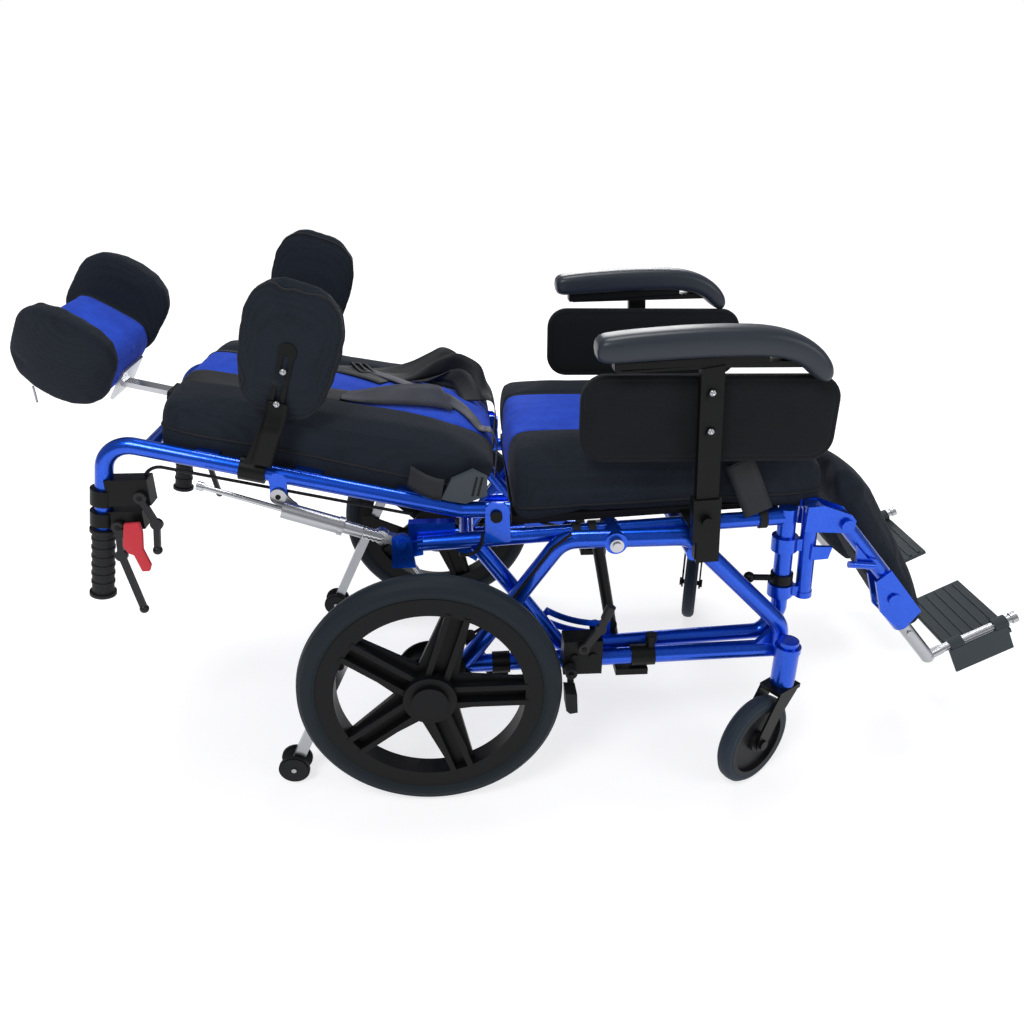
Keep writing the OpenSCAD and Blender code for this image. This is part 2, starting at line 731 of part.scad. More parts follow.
module seat_fittings() color(black) placed() both_sides() {
    difference() {
        union() {
            arm_frame() {
                block(arm_box_x, [-arm_box_half, arm_box_half], arm_box_z);
                block(arm_step_x, [-arm_box_half, arm_box_half], arm_step_z);
            }
            block(arm_bridge_x, arm_bridge_y, arm_bridge_z);
            cross_pin([arm_foot[0], arm_knob[1]], arm_knob_y, arm_knob_r);
        }
        arm_frame()
            block([-arm_post_half_x - run_gap, arm_post_half_x + run_gap],
                [-arm_post_half_y - run_gap, arm_post_half_y + run_gap],
                [arm_post_low - bend_grip, arm_post_high]);
    }
    collar(side_point(latch_collar[0], seat_y), side_point(latch_collar[1], seat_y), latch_collar_r,
        upright_r + run_gap);
    difference() {
        union() {
            rod(side_point(latch_rod[0], seat_y), side_point(latch_rod[1], seat_y), latch_rod_r);
            translate(side_point(latch_rod[1], seat_y))
                sphere(r = latch_ball_r);
        }
        rod(side_point(seat_upright[0], seat_y), side_point(seat_upright[1], seat_y), upright_r + run_gap);
    }
    cross_pin(recline_pivot, hinge_pin_y, hinge_pin_r);
    cross_pin(recline_pivot, [hinge_pin_y[0], hinge_outer_y[0] - lay_gap], seat_pin_head_r);
    cross_pin(recline_pivot, [hinge_pin_y[1] - grip_step, hinge_pin_y[1]], seat_pin_head_r);
    cross_pin(clevis_tilt, clevis_pin_y, clevis_bolt_r);
    cross_pin(clevis_tilt, [clevis_pin_y[0], clevis_outer_y[0] - lay_gap], clevis_head_r);
}

// Seat cushion
seat_stations = [[126, 478, 500, 0.9, 0.1], [128, 452, 528, 0.96, 0.5], [134, 440, 540, 0.99, 0.8],
    [150, 436, 545, 1, 1], [200, 437, 546, 1, 1], [260, 439, 545, 1, 1], [330, 441.5, 543, 1, 1],
    [400, 444, 541, 1, 1], [470, 446.5, 539, 1, 1], [530, 448.5, 537, 1, 1], [570, 450, 533, 1, 0.9],
    [592, 451.5, 524, 0.99, 0.7], [606, 455, 510, 0.97, 0.45], [614, 462, 494, 0.94, 0.2], [617, 472, 482, 0.9, 0.05]];

module seat_cushion() color(cloth_blue) placed()
    pad([for (s = seat_stations) [s[0], s[1] - seat_drop, s[2], s[3], s[4]]], seat_half_w, seat_crown, 0, no_rest);
seat_drop = 1.4;

// Lap belt
belt_clip_x = [222, 246, 509];
belt_clip_w = 12;
belt_clip_r = 15.5;

module lap_belt() color(black) placed() {
    both_sides()
        for (x = belt_clip_x)
            collar([x, seat_y, on_line(seat_rail, x)], [x + belt_clip_w, seat_y, on_line(seat_rail, x + belt_clip_w)],
                belt_clip_r, seat_tube_r + run_gap);
}

// Back frame
back_tube = [[126, 451.6], [52, 453], [-444, 573.6], [-472, 439]];
back_bend = 40;
back_angle = 13.67;
back_cross = [[-386, 560], [22, 460]];
back_lug = [[-209, 510], [-210, 488]];
back_lug_w = 24;
back_lug_eye = 13;
back_lug_y = [-216.6, -211];
strut_pivot = [-210, 488];
strut_pivot_r = 4;
strut_lug_y = [-221.8, -206.6];
slat_x = [[-440, -407.5], [-300, -262], [-150, -112]];
slat_y = [-206, 206];
slat_z = [0.6, 4.4];

module back_axis()
    translate([recline_pivot[0], 0, recline_pivot[1]])
        rotate([0, back_angle, 0])
            children();

module back_frame() color(frame_blue) placed() difference() {
    union() {
        both_sides() {
            tube(side_route(back_tube, seat_y), seat_tube_r, back_bend);
            link(back_lug[0], back_lug[1], back_lug_w, back_lug_eye, back_lug_y);
        }
        for (p = back_cross)
            cross_pin(p, seat_cross_y, cross_tube_r);
        back_axis()
            for (x = slat_x)
                block(x, slat_y, slat_z);
    }
    both_sides() {
        cross_pin(recline_pivot, bore_narrow_y, hinge_pin_r + run_gap);
        cross_pin(strut_pivot, bore_narrow_y, strut_pivot_r + run_gap);
    }
}

// Back cushion
back_rest = 4.8;
back_stations = [[-503, 38, 46, 0.88, 0.1], [-500, 22, 58, 0.94, 0.4], [-491, 9, 65, 0.98, 0.8],
    [-468, 6, 68, 1, 1], [-420, 6, 70, 1, 1], [-350, 7, 74, 1, 1], [-280, 8, 78, 1, 1],
    [-210, 10, 82, 1, 1], [-140, 14, 87, 1, 1], [-80, 18, 92, 1, 1], [-45, 24, 94, 0.99, 0.9],
    [-25, 34, 92, 0.97, 0.6], [-14, 48, 84, 0.94, 0.3], [-10, 58, 74, 0.9, 0.1]];

module back_cushion() color(cloth_blue) placed() back_axis()
    pad(back_stations, back_half_w, back_crown, channel_depth, back_rest);

// Grips and levers
grip_from = [-472.12, 438.7];
grip_to = [-495, 328];
grip_r = 15.5;
grip_flange_r = 19;
grip_rib_count = 6;
grip_rib_r = 16.6;
function between(a, b, share) = a + (b - a) * share;

module push_grips() color(black) placed() both_sides() {
    rod(side_point(grip_from, seat_y), side_point(grip_to, seat_y), grip_r);
    for (k = [1 : grip_rib_count])
        rod(side_point(between(grip_from, grip_to, k * rib_share), seat_y),
            side_point(between(grip_from, grip_to, k * rib_share + rib_width_share), seat_y), grip_rib_r);
    rod(side_point(between(grip_from, grip_to, flange_share), seat_y), side_point(grip_to, seat_y), grip_flange_r);
    rod(side_point(grip_from, seat_y), side_point(between(grip_from, grip_to, 1 - flange_share), seat_y),
        grip_flange_r);
}
rib_share = 0.13;
rib_width_share = 0.035;
flange_share = 0.955;

clamp_low = [[-466.3, 467], [-470.6, 446]];
clamp_low_r = 18.5;
clamp_low_box_x = [-458, -408];
clamp_low_box_y = [-216, -192];
clamp_low_box_z = [440, 468];
clamp_up = [[-459, 502], [-464, 478]];
clamp_up_box_x = [-452, -392];
clamp_up_box_y = [-218, -190];
clamp_up_box_z = [478, 518];
lever_pivot = [-444, 446];
lever_pivot_r = 4;
release_pivot = [-404, 492];
lever_pin_y = [-224, -184];
lateral_bolts = [[-183, 671], [-198, 626]];
lateral_plate_y = [-216.2, -211.2];
lateral_bar = [[-243, 536], [-201, 615]];
lateral_bar_w = 20;
lateral_bar_eye = 12;
lateral_head = [[-201.6, 615], [-174, 698]];
lateral_collar = [[-262, 529.3], [-226, 520.5]];
lateral_collar_r = 17.5;
lateral_slot_r = 4.1;

module clamp_ring(points, outer)
    collar(side_point(points[0], seat_y), side_point(points[1], seat_y), outer, seat_tube_r + bar_gap);

module lateral_mount() difference() {
    union() {
        link(lateral_bar[0], lateral_bar[1], lateral_bar_w, lateral_bar_eye, lateral_plate_y);
        link(lateral_head[0], lateral_head[1], lateral_bar_w, lateral_bar_eye, lateral_plate_y);
        rod(side_point(lateral_collar[0], seat_y), side_point(lateral_collar[1], seat_y), lateral_collar_r);
    }
    tube(side_route(back_tube, seat_y), seat_tube_r + bar_gap, back_bend);
    link(lateral_slot[0], lateral_slot[1], lateral_slot_w, lateral_slot_r, bore_y);
}
module back_fittings() color(black) placed() {
    both_sides() {
        difference() {
            union() {
                clamp_ring(clamp_low, clamp_low_r);
                clamp_ring(clamp_up, clamp_low_r);
                block(clamp_low_box_x, clamp_low_box_y, clamp_low_box_z);
                block(clamp_up_box_x, clamp_up_box_y, clamp_up_box_z);
                cross_pin(lever_pivot, lever_pin_y, lever_pivot_r);
                cross_pin(release_pivot, lever_pin_y, lever_pivot_r);
            }
            tube(side_route(back_tube, seat_y), seat_tube_r + bar_gap, back_bend);
            rod(side_point(grip_from, seat_y), side_point(grip_to, seat_y), grip_flange_r + lay_gap);
        }
        cross_pin(strut_pivot, strut_lug_y, strut_pivot_r);
    }
    lateral_mount();
    translate(lateral_far_move)
        far_side()
            lateral_mount();
    back_axis()
        difference() {
            block(receiver_box_x, receiver_box_y, receiver_box_z);
            block([receiver_box_x[0] - bend_grip, receiver_box_x[1] + bend_grip],
                [-head_bar_half_y - run_gap, head_bar_half_y + run_gap],
                [head_bar_z[0] - run_gap, head_bar_z[1] + run_gap]);
        }
}
lateral_slot = [[-198, 626], [-176.7, 690]];
lateral_slot_w = 8.2;
receiver_box_x = [-534, -506];
receiver_box_y = [-26, 26];
receiver_box_z = [3, 16];

brake_lever = [[-444, 446], [-448, 400], [-432, 308]];
brake_lever_w = 9;
brake_lever_eye = 9;
brake_lever_y = [-223.5, -216.6];
brake_ball_r = 7;
red_lock = [[-436, 442], [-424, 414], [-417, 396]];
red_lock_w = 9;
red_lock_y = [-230.5, -223];
release_lever = [[-404, 492], [-388, 450], [-394, 408]];
release_lever_y = [-224.5, -218.6];

module brake_shape() difference() {
    union() {
        link(brake_lever[0], brake_lever[1], brake_lever_w, brake_lever_eye, brake_lever_y);
        link(brake_lever[1], brake_lever[2], brake_lever_w, brake_lever_w * half + bend_swell, brake_lever_y);
        translate([brake_lever[2][0], middle(brake_lever_y[0], brake_lever_y[1]), brake_lever[2][1]])
            sphere(r = brake_ball_r);
        link(red_lock[0], red_lock[1], red_lock_w, red_lock_w * half + bend_swell, red_lock_y);
        link(red_lock[1], red_lock[2], red_lock_w, red_lock_w * half + bend_swell, red_lock_y);
    }
    cross_pin(lever_pivot, bore_wide_y, lever_pivot_r + run_gap);
}

module release_shape() difference() {
    union() {
        link(release_lever[0], release_lever[1], brake_lever_w, brake_lever_eye, release_lever_y);
        link(release_lever[1], release_lever[2], brake_lever_w, brake_lever_w * half + bend_swell, release_lever_y);
        translate([release_lever[2][0], middle(release_lever_y[0], release_lever_y[1]), release_lever[2][1]])
            sphere(r = brake_ball_r);
    }
    cross_pin(release_pivot, bore_wide_y, lever_pivot_r + run_gap);
}

module brake_lever_r() color(chrome) placed() brake_shape();
module brake_lever_l() color(chrome) placed() far_side() brake_shape();
module release_lever_r() color(black) placed() release_shape();
module release_lever_l() color(black) placed() far_side() release_shape();

// Head support
head_bar_x = [-608, -499];
head_bar_z = [5, 13];
head_bar_half_y = 13;
head_tilt = 32;
head_roll = 5;
head_centre = [-500, 0, 665];
head_plate = [[45.1, -64], [45.1, -12], [50, -12], [50, -64]];
head_plate_y = [-40, 40];
head_mid_stations = [[-80, -14, 10, 0.86, 0.2], [-76, -24, 20, 0.95, 0.6], [-62, -32, 25, 1, 1], [-30, -42, 27, 1, 1],
    [10, -50, 27, 1, 1], [30, -53, 24, 1, 0.9], [41, -50, 12, 0.97, 0.6], [45, -40, -6, 0.9, 0.2]];
head_mid_half = 69;
head_crown = 5;
head_wing_stations = [[-76, 9, 17, 0.34, 0.1], [-70, 4, 23, 0.58, 0.5], [-52, 0, 28, 0.86, 1], [-24, 0, 31, 0.98, 1],
    [4, 0, 32, 1, 1], [32, 0, 30, 0.96, 1], [56, 1, 27, 0.8, 0.9], [70, 5, 22, 0.56, 0.5], [75, 9, 17, 0.34, 0.1]];
head_wing_half = 76;
head_wing_flare = 12;
head_wing_near = [-24, -71.5, -3];
head_wing_far = [-25, -71.5, 34];

module head_axis()
    translate(head_centre)
        rotate([head_roll, head_tilt, 0])
            children();

module head_wing(at)
    translate(at)
        rotate([90 + head_wing_flare, 0, 0])
            pad(head_wing_stations, head_wing_half, head_crown, 0, no_rest);

module headrest_bar() color(chrome) placed() {
    back_axis()
        block(head_bar_x, [-head_bar_half_y, head_bar_half_y], head_bar_z);
    head_axis()
        side_plate(head_plate, head_plate_y);
}

module headrest_cushion() color(cloth_blue) placed() head_axis() {
    pad(head_mid_stations, head_mid_half, head_crown, 0, no_rest);
    head_wing(head_wing_near);
    mirror([0, 1, 0])
        head_wing(head_wing_far);
}

// Lateral pads
lateral_centre = [-168, -209.2, 704];
lateral_stations = [[-95, 9, 17, 0.34, 0.1], [-88, 4, 23, 0.58, 0.5], [-66, 0, 27, 0.82, 1], [-30, 0, 30, 0.95, 1],
    [10, 0, 31, 1, 1], [44, 0, 30, 0.98, 1], [70, 0, 28, 0.84, 0.9], [88, 4, 23, 0.58, 0.5], [95, 9, 17, 0.34, 0.1]];
lateral_half = 71;
lateral_crown = 4;
lateral_lean = 17;
lateral_bolt_y = [-221, -209.2];
lateral_bolt_head_y = [-221, -216.6];

lateral_far_slide = 30;
lateral_far_rise = 13;
lateral_far_move = [-lateral_far_slide * cos(back_angle), 0, lateral_far_slide * sin(back_angle)];

module lateral_shape(rise)
    translate(lateral_centre + [0, 0, rise])
        rotate([0, lateral_lean, 0])
            rotate([0, -90, 0])
                rotate([90, 0, 0])
                    mirror([0, 0, 1])
                        pad(lateral_stations, lateral_half, lateral_crown, 0, no_rest);

module lateral_piece(rise) {
    lateral_shape(rise);
    for (p = lateral_bolts) {
        cross_pin(p, lateral_bolt_y, lateral_slot_r - bar_gap);
        cross_pin(p, lateral_bolt_head_y, clevis_head_r);
    }
}
module lateral_pad_r() color(cloth_blue) placed()
    lateral_piece(0);
module lateral_pad_l() color(cloth_blue) placed()
    translate(lateral_far_move)
        far_side()
            lateral_piece(lateral_far_rise);

// Harness
harness_buckle = [[24, 474], [40, 504], [72, 518], [93, 506], [92, 478], [60, 466], [36, 470.6]];
harness_buckle_y = [-212, -201];
module shoulder_harness() color(black) placed() both_sides()
    side_plate(harness_buckle, harness_buckle_y);

// Recline struts
strut_line = unit([-0.9426, 0.3338]);
function strut_at(t) = clevis_strut + strut_line * t;
strut_tube_r = 12.5;
strut_bore_r = 8;
strut_rod_r = 4;
strut_tube_t = [94, 178];
strut_clamp_t = [88, 96];
strut_clamp_r = 14;
strut_nose_t = [60, 89];
strut_nose_r = 9.5;
strut_rod_t = [26, 298];
strut_nut_t = [290, 300];
strut_nut_r = 6.6;
strut_boot_t = [30, 58];
strut_boot_r = 8;
strut_boot_ribs = 4;
strut_boot_rib_r = 9.3;
strut_fork_t = [6, 31];
strut_fork_half = 7;
strut_eye_t_r = 11;
strut_fork_y = [-231.6, -217.4];
strut_bracket_y = [-221.6, -217.2];
strut_bracket_w = 22;

module strut_rod_piece(ts, r)
    rod(side_point(strut_at(ts[0]), strut_y), side_point(strut_at(ts[1]), strut_y), r);

module recline_tube_shape() difference() {
    union() {
        strut_rod_piece(strut_tube_t, strut_tube_r);
        strut_rod_piece(strut_clamp_t, strut_clamp_r);
        strut_rod_piece(strut_nose_t, strut_nose_r);
        link(strut_pivot, strut_at(strut_bracket_t), strut_bracket_w, strut_bracket_w * half + bend_grip,
            strut_bracket_y);
    }
    cross_pin(strut_pivot, bore_wide_y, strut_pivot_r + run_gap);
    strut_rod_piece([strut_clamp_t[1] - bend_grip, strut_tube_t[1] + bend_grip], strut_bore_r);
    strut_rod_piece([0, strut_tube_t[1]], strut_rod_r + run_gap);
}
strut_bracket_t = 168;

module recline_rod_shape() difference() {
    union() {
        strut_rod_piece(strut_rod_t, strut_rod_r);
        strut_rod_piece(strut_nut_t, strut_nut_r);
        strut_rod_piece(strut_boot_t, strut_boot_r);
        for (k = [0 : strut_boot_ribs - 1])
            strut_rod_piece([strut_boot_t[0] + grip_step + k * strut_fork_half,
                strut_boot_t[0] + grip_step + grip_step + k * strut_fork_half], strut_boot_rib_r);
        link(clevis_strut, strut_at(strut_fork_t[1]), strut_fork_half * 2, strut_eye_t_r, strut_fork_y);
    }
    cross_pin(clevis_strut, bore_wide_y, clevis_bolt_r + bend_grip);
}

module recline_tubes() color(black) placed() both_sides() recline_tube_shape();
module recline_rods() color(chrome) placed() both_sides() recline_rod_shape();

// Tilt lock struts
tilt_line = unit(clevis_tilt - strut_foot);
function tilt_at(t) = strut_foot + tilt_line * t;
tilt_tube_r = 9;
tilt_tube_t = [-34, 124];
tilt_gland_t = [121, 135];
tilt_gland_r = 11;
tilt_collar_t = [-12, 12];
tilt_collar_r = 11;
tilt_rod_r = 4;
tilt_rod_end = 108;
tilt_eye_r = 9.5;
tilt_eye_y = [-210, -198];
tilt_eye_gap = 1.6;
tilt_pin_y = [-226.5, -204];
tilt_pin_head_y = [-226.5, -221.9];
tilt_pin_head_r = 8;

module tilt_piece(ts, r)
    rod(side_point(tilt_at(ts[0]), seat_y), side_point(tilt_at(ts[1]), seat_y), r);

module tilt_tubes() color(black) placed() both_sides() difference() {
    union() {
        tilt_piece(tilt_tube_t, tilt_tube_r);
        tilt_piece(tilt_gland_t, tilt_gland_r);
        tilt_piece(tilt_collar_t, tilt_collar_r);
        cross_pin(strut_foot, tilt_pin_y, strut_pin_r);
        cross_pin(strut_foot, tilt_pin_head_y, tilt_pin_head_r);
    }
    tilt_piece([tilt_tube_t[0] - bend_grip, tilt_gland_t[1] + bend_grip], tilt_rod_r + run_gap);
}

module tilt_rods() color(chrome) placed() both_sides() difference() {
    union() {
        tilt_piece([tilt_rod_end, norm(clevis_tilt - strut_foot) - tilt_eye_r * half], tilt_rod_r);
        cross_pin(clevis_tilt, tilt_eye_y, tilt_eye_r);
    }
    cross_pin(clevis_tilt, bore_wide_y, clevis_bolt_r + tilt_eye_gap);
}

// Arms
arm_screws = [[399, 643], [402, 588]];
arm_screw_r = 6;
arm_screw_y = [-270, -241];
arm_head_y = [-270, -266.9];
panel_outline = [[226, 592], [240, 536], [262, 526], [560, 540], [592, 556], [597, 590], [560, 618],
    [420, 654], [300, 652], [238, 630]];
panel_y = [-242, -220];
panel_inset = 3;
arm_pad_stations = [[-164, 12, 24, 0.8, 0.1], [-159, 3, 33, 0.92, 0.7], [-140, 0, 36, 1, 1], [-50, 0, 40, 1, 1],
    [40, 0, 43, 1, 1], [100, 0, 42, 1, 1], [136, 3, 35, 0.99, 0.9], [156, 6, 26, 0.93, 0.6], [164, 10, 18, 0.8, 0.1]];
arm_top = [401, -250, 673];
arm_pad_half = 26;
arm_pad_crown = 4;
arm_top_turn = 3.4;
arm_plate_x = [-130, 130];
arm_plate_y = [-14, 12];
arm_plate_z = [-4.8, -0.4];

module arm_top_frame()
    translate(arm_top)
        rotate([0, arm_top_turn, 0])
            children();

module arm_post_shape() {
    arm_frame()
        block([-arm_post_half_x, arm_post_half_x], [-arm_post_half_y, arm_post_half_y], [arm_post_low, arm_post_high]);
    arm_top_frame()
        block(arm_plate_x, arm_plate_y, arm_plate_z);
    for (p = arm_screws) {
        cross_pin(p, arm_screw_y, arm_screw_r);
        cross_pin(p, arm_head_y, arm_screw_r + bend_grip * 2);
    }
}

module side_panel_shape() difference() {
    union() {
        side_plate(panel_outline, [panel_y[0] + panel_inset, panel_y[1] - panel_inset]);
        translate([panel_mid[0], 0, panel_mid[1]])
            scale(panel_share)
                translate([-panel_mid[0], 0, -panel_mid[1]])
                    side_plate(panel_outline, [panel_y[0] / panel_share, panel_y[1] / panel_share]);
    }
    for (p = arm_screws)
        cross_pin(p, [arm_screw_y[0], arm_screw_y[1] + bend_grip], arm_screw_r + run_gap);
}
panel_mid = [410, 590];
panel_share = 0.95;

module arm_pad_shape()
    arm_top_frame()
        pad(arm_pad_stations, arm_pad_half, arm_pad_crown, 0, no_rest);

module arm_post_r() color(black) placed() arm_post_shape();
module arm_post_l() color(black) placed() far_side() arm_post_shape();
module arm_pad_r() color(black) placed() arm_pad_shape();
module arm_pad_l() color(black) placed() far_side() arm_pad_shape();
module side_panel_r() color(black) placed() side_panel_shape();
module side_panel_l() color(black) placed() far_side() side_panel_shape();

// Leg rests
leg_pivot = [640, 422];
leg_line = unit([0.653, -0.757]);
leg_side = [-0.757, -0.653];
function leg_at(t) = leg_pivot + leg_line * t;
function leg_low(t) = leg_at(t) + leg_side * leg_offset;
leg_offset = 24.5;
hanger_tube = [[588, 446], [597, 300]];
hanger_collars = [[[556.3, 395], [557.6, 371]], [[560.9, 311], [562, 290]]];
hanger_collar_r = 20;
hanger_arm_z = [[373, 393], [292, 309]];
hanger_arm_x = [566, 596];
hanger_arm_y = [-216, -204];
hanger_cheek = [[576, 412], [640, 408], [653, 416], [654, 428], [646, 438], [600, 455], [576, 452]];
hanger_cheek_outer_y = [-228, -223.2];
hanger_cheek_inner_y = [-196.8, -192];
hanger_top_x = [577, 600];
hanger_top_z = [440, 453];
hanger_cap = [[597, 300.2], [597.8, 290]];
hanger_cap_r = 13.6;
leg_bolt_r = 5;
leg_bolt_y = [-233, -187];
leg_head_r = 10;
leg_head_y = [-235, -228.2];
ratchet_plate = [[592, 362], [620, 364], [624, 384], [592, 386]];
ratchet_plate_y = [-228, -221.4];

module hanger_shape() difference() {
    union() {
        rod(side_point(hanger_tube[0], leg_y), side_point(hanger_tube[1], leg_y), seat_tube_r);
        rod(side_point(hanger_cap[0], leg_y), side_point(hanger_cap[1], leg_y), hanger_cap_r);
        for (c = hanger_collars)
            rod(side_point(c[0], seat_y), side_point(c[1], seat_y), hanger_collar_r);
        for (z = hanger_arm_z)
            block(hanger_arm_x, hanger_arm_y, z);
        side_plate(hanger_cheek, hanger_cheek_outer_y);
        side_plate(hanger_cheek, hanger_cheek_inner_y);
        block(hanger_top_x, [hanger_cheek_outer_y[0], hanger_cheek_inner_y[1]], hanger_top_z);
        cross_pin(leg_pivot, leg_bolt_y, leg_bolt_r);
        cross_pin(leg_pivot, leg_head_y, leg_head_r);
        side_plate(ratchet_plate, ratchet_plate_y);
    }
    rod(side_point(seat_upright[0], seat_y), side_point(seat_upright[1], seat_y), upright_r + run_gap);
}

leg_tube_t = [0, 138];
leg_eye_r = 14.5;
leg_plate = [[706, 318], [728, 338], [792, 262], [778, 240], [752, 236], [724, 262]];
leg_plate_outer_y = [-226.5, -221.5];
leg_plate_inner_y = [-198.5, -193.5];
leg_plate_bolt = [742, 286];
leg_sleeve_t = [196, 232];
leg_sleeve_r = 15.5;
lower_r = 11;
leg_plate_head_y = [-231, -226];
ratchet_ear = [[664, 384], [684, 362], [700, 360], [704, 346], [688, 342], [668, 352]];
ratchet_ear_y = [-228, -221.5];
ratchet_grip = [[652, 356], [694, 352]];
ratchet_grip_r = 5.5;
ratchet_grip_y = -233;
calf_arm_t = [[52, -4], [120, -4]];
calf_arm_r = 6;
calf_arm_y = [-206, -182.3];

module leg_tube_shape() difference() {
    union() {
        rod(side_point(leg_at(leg_tube_t[0]), leg_y), side_point(leg_at(leg_tube_t[1]), leg_y), seat_tube_r);
        cross_pin(leg_pivot, leg_eye_y, leg_eye_r);
        side_plate(leg_plate, leg_plate_outer_y);
        side_plate(leg_plate, leg_plate_inner_y);
        cross_pin(leg_plate_bolt, leg_plate_head_y, leg_head_r);
        rod(side_point(leg_low(leg_sleeve_t[0]), leg_y), side_point(leg_low(leg_sleeve_t[1]), leg_y), leg_sleeve_r);
        side_plate(ratchet_ear, ratchet_ear_y);
        rod(side_point(ratchet_grip[0], ratchet_grip_y), side_point(ratchet_grip[1], ratchet_grip_y), ratchet_grip_r);
        for (t = calf_arm_t)
            cross_pin(leg_at(t[0]), calf_arm_y, calf_arm_r);
    }
    cross_pin(leg_pivot, bore_wide_y, leg_bolt_r + run_gap);
    rod(side_point(leg_low(leg_sleeve_t[0] - leg_clear), leg_y), side_point(leg_low(leg_sleeve_t[1] + leg_clear), leg_y),
        lower_r + run_gap);
}
leg_eye_y = [-222.6, -197.4];
leg_clear = 60;

lower_t = [168, 322];
foot_rod = [[846, 172], [968, 236]];
foot_rod_r = 7;
foot_cap_share = 0.93;
foot_cap_r = 9.5;
foot_hook_r = 11.4;
lower_pin_t = 250;
lower_pin_y = [-224, -196];
lower_pin_r = 5;
foot_line = unit(foot_rod[1] - foot_rod[0]);
foot_down = [foot_line[1], -foot_line[0]];
function foot_at(s, drop) = foot_rod[0] + foot_line * s + foot_down * drop;

module leg_extension_shape() {
    rod(side_point(leg_low(lower_t[0]), leg_y), side_point(leg_low(lower_t[1]), leg_y), lower_r);
    translate(side_point(leg_low(lower_t[1]), leg_y))
        sphere(r = foot_hook_r);
    rod(side_point(leg_low(lower_t[1]), leg_y), side_point(foot_at(foot_nose, 0), leg_y), foot_rod_r + bend_grip);
    rod(side_point(foot_rod[0], leg_y), side_point(foot_rod[1], leg_y), foot_rod_r);
    rod(side_point(between(foot_rod[0], foot_rod[1], foot_cap_share), leg_y), side_point(foot_rod[1], leg_y),
        foot_cap_r);
    cross_pin(leg_low(lower_pin_t), lower_pin_y, lower_pin_r);
}

foot_knuckles = [[22, 44], [98, 120]];
foot_knuckle_r = 11;
foot_plate_s = [20, 121];
foot_plate_y = [-199, -58];
foot_plate_drop = [10.4, 17];
foot_rib_count = 6;
foot_rib_step = 17;
foot_rib_w = 6;
foot_rib_drop = [8.4, 11];
foot_rib_first = 25;
foot_skirt_s = [16, 116];
foot_skirt_y = [-221.5, -218];
foot_skirt_drop = [2, 50];
foot_root_y = [-221.5, -196];
foot_root_drop = [9, 17];

module foot_block(ss, ys, drops)
    side_plate([foot_at(ss[0], drops[0]), foot_at(ss[1], drops[0]), foot_at(ss[1], drops[1]),
        foot_at(ss[0], drops[1])], ys);

module footplate_shape() difference() {
    union() {
        for (k = foot_knuckles) {
            rod(side_point(foot_at(k[0], 0), leg_y), side_point(foot_at(k[1], 0), leg_y), foot_knuckle_r);
            foot_block(k, foot_root_y, foot_root_drop);
        }
        foot_block(foot_plate_s, foot_plate_y, foot_plate_drop);
        for (k = [0 : foot_rib_count - 1])
            foot_block([foot_rib_first + k * foot_rib_step - foot_rib_w * half, foot_rib_first + k * foot_rib_step
                + foot_rib_w * half], [foot_plate_y[0] + foot_inset, foot_plate_y[1] - foot_inset], foot_rib_drop);
        foot_block(foot_skirt_s, foot_skirt_y, foot_skirt_drop);
    }
    rod(side_point(foot_rod[0], leg_y), side_point(foot_rod[1], leg_y), foot_rod_r + run_gap);
}

calf_top = [632, 486];
calf_angle = 58.8;
calf_stations = [[0, 6, 14, 0.8, 0.1], [8, -6, 26, 0.92, 0.7], [40, -14, 36, 1, 1], [110, -20, 38, 1, 1],
    [190, -18, 40, 1, 1], [260, -14, 40, 1, 1], [320, -8, 34, 1, 0.9], [340, -2, 26, 0.93, 0.6],
    [348, 8, 16, 0.82, 0.1]];
calf_half = 62;
calf_crown = 6;
calf_y = -120;

module calf_pad_shape()
    translate([calf_top[0], calf_y, calf_top[1]])
        rotate([0, calf_angle, 0])
            pad(calf_stations, calf_half, calf_crown, 0, no_rest);

module hanger_r() color(chrome) placed() hanger_shape();
module hanger_l() color(chrome) placed() far_side() hanger_shape();
module leg_tube_r() color(chrome) placed() leg_tube_shape();
module leg_tube_l() color(chrome) placed() far_side() leg_tube_shape();
module leg_extension_r() color(black) placed() leg_extension_shape();
module leg_extension_l() color(black) placed() far_side() leg_extension_shape();
module footplate_r() color(black) placed() footplate_shape();
module footplate_l() color(black) placed() far_side() footplate_shape();
module calf_pad_r() color(cloth_blue) placed() calf_pad_shape();
module calf_pad_l() color(cloth_blue) placed() far_side() calf_pad_shape();

// Cables
cable_r = 2.4;
cable_bend = 24;
base_cable = [[68.6, 266.4], [104, 290], [186, 408], [214, 431]];
base_cable_y = -251.8;
seat_cable = [[54, 384], [80, 372], [84, 420]];
seat_cable_y = -219.1;
back_cable = [[-398, 519.2], [-387, 535], [-20, 447.5]];

module base_cables() color(black) placed() both_sides()
    tube(side_route(base_cable, base_cable_y), cable_r, cable_bend);

module seat_cables() color(black) placed() both_sides()
    tube(side_route(seat_cable, seat_cable_y), cable_r, cable_bend);

module back_cables() color(black) placed() both_sides()
    tube(side_route(back_cable, seat_y), cable_r, cable_bend);

// Nodes
frame_blue = [0.05, 0.17, 0.62];
black = [0.08, 0.08, 0.09];
chrome = [0.78, 0.78, 0.8];
cloth_blue = [0.12, 0.26, 0.7];

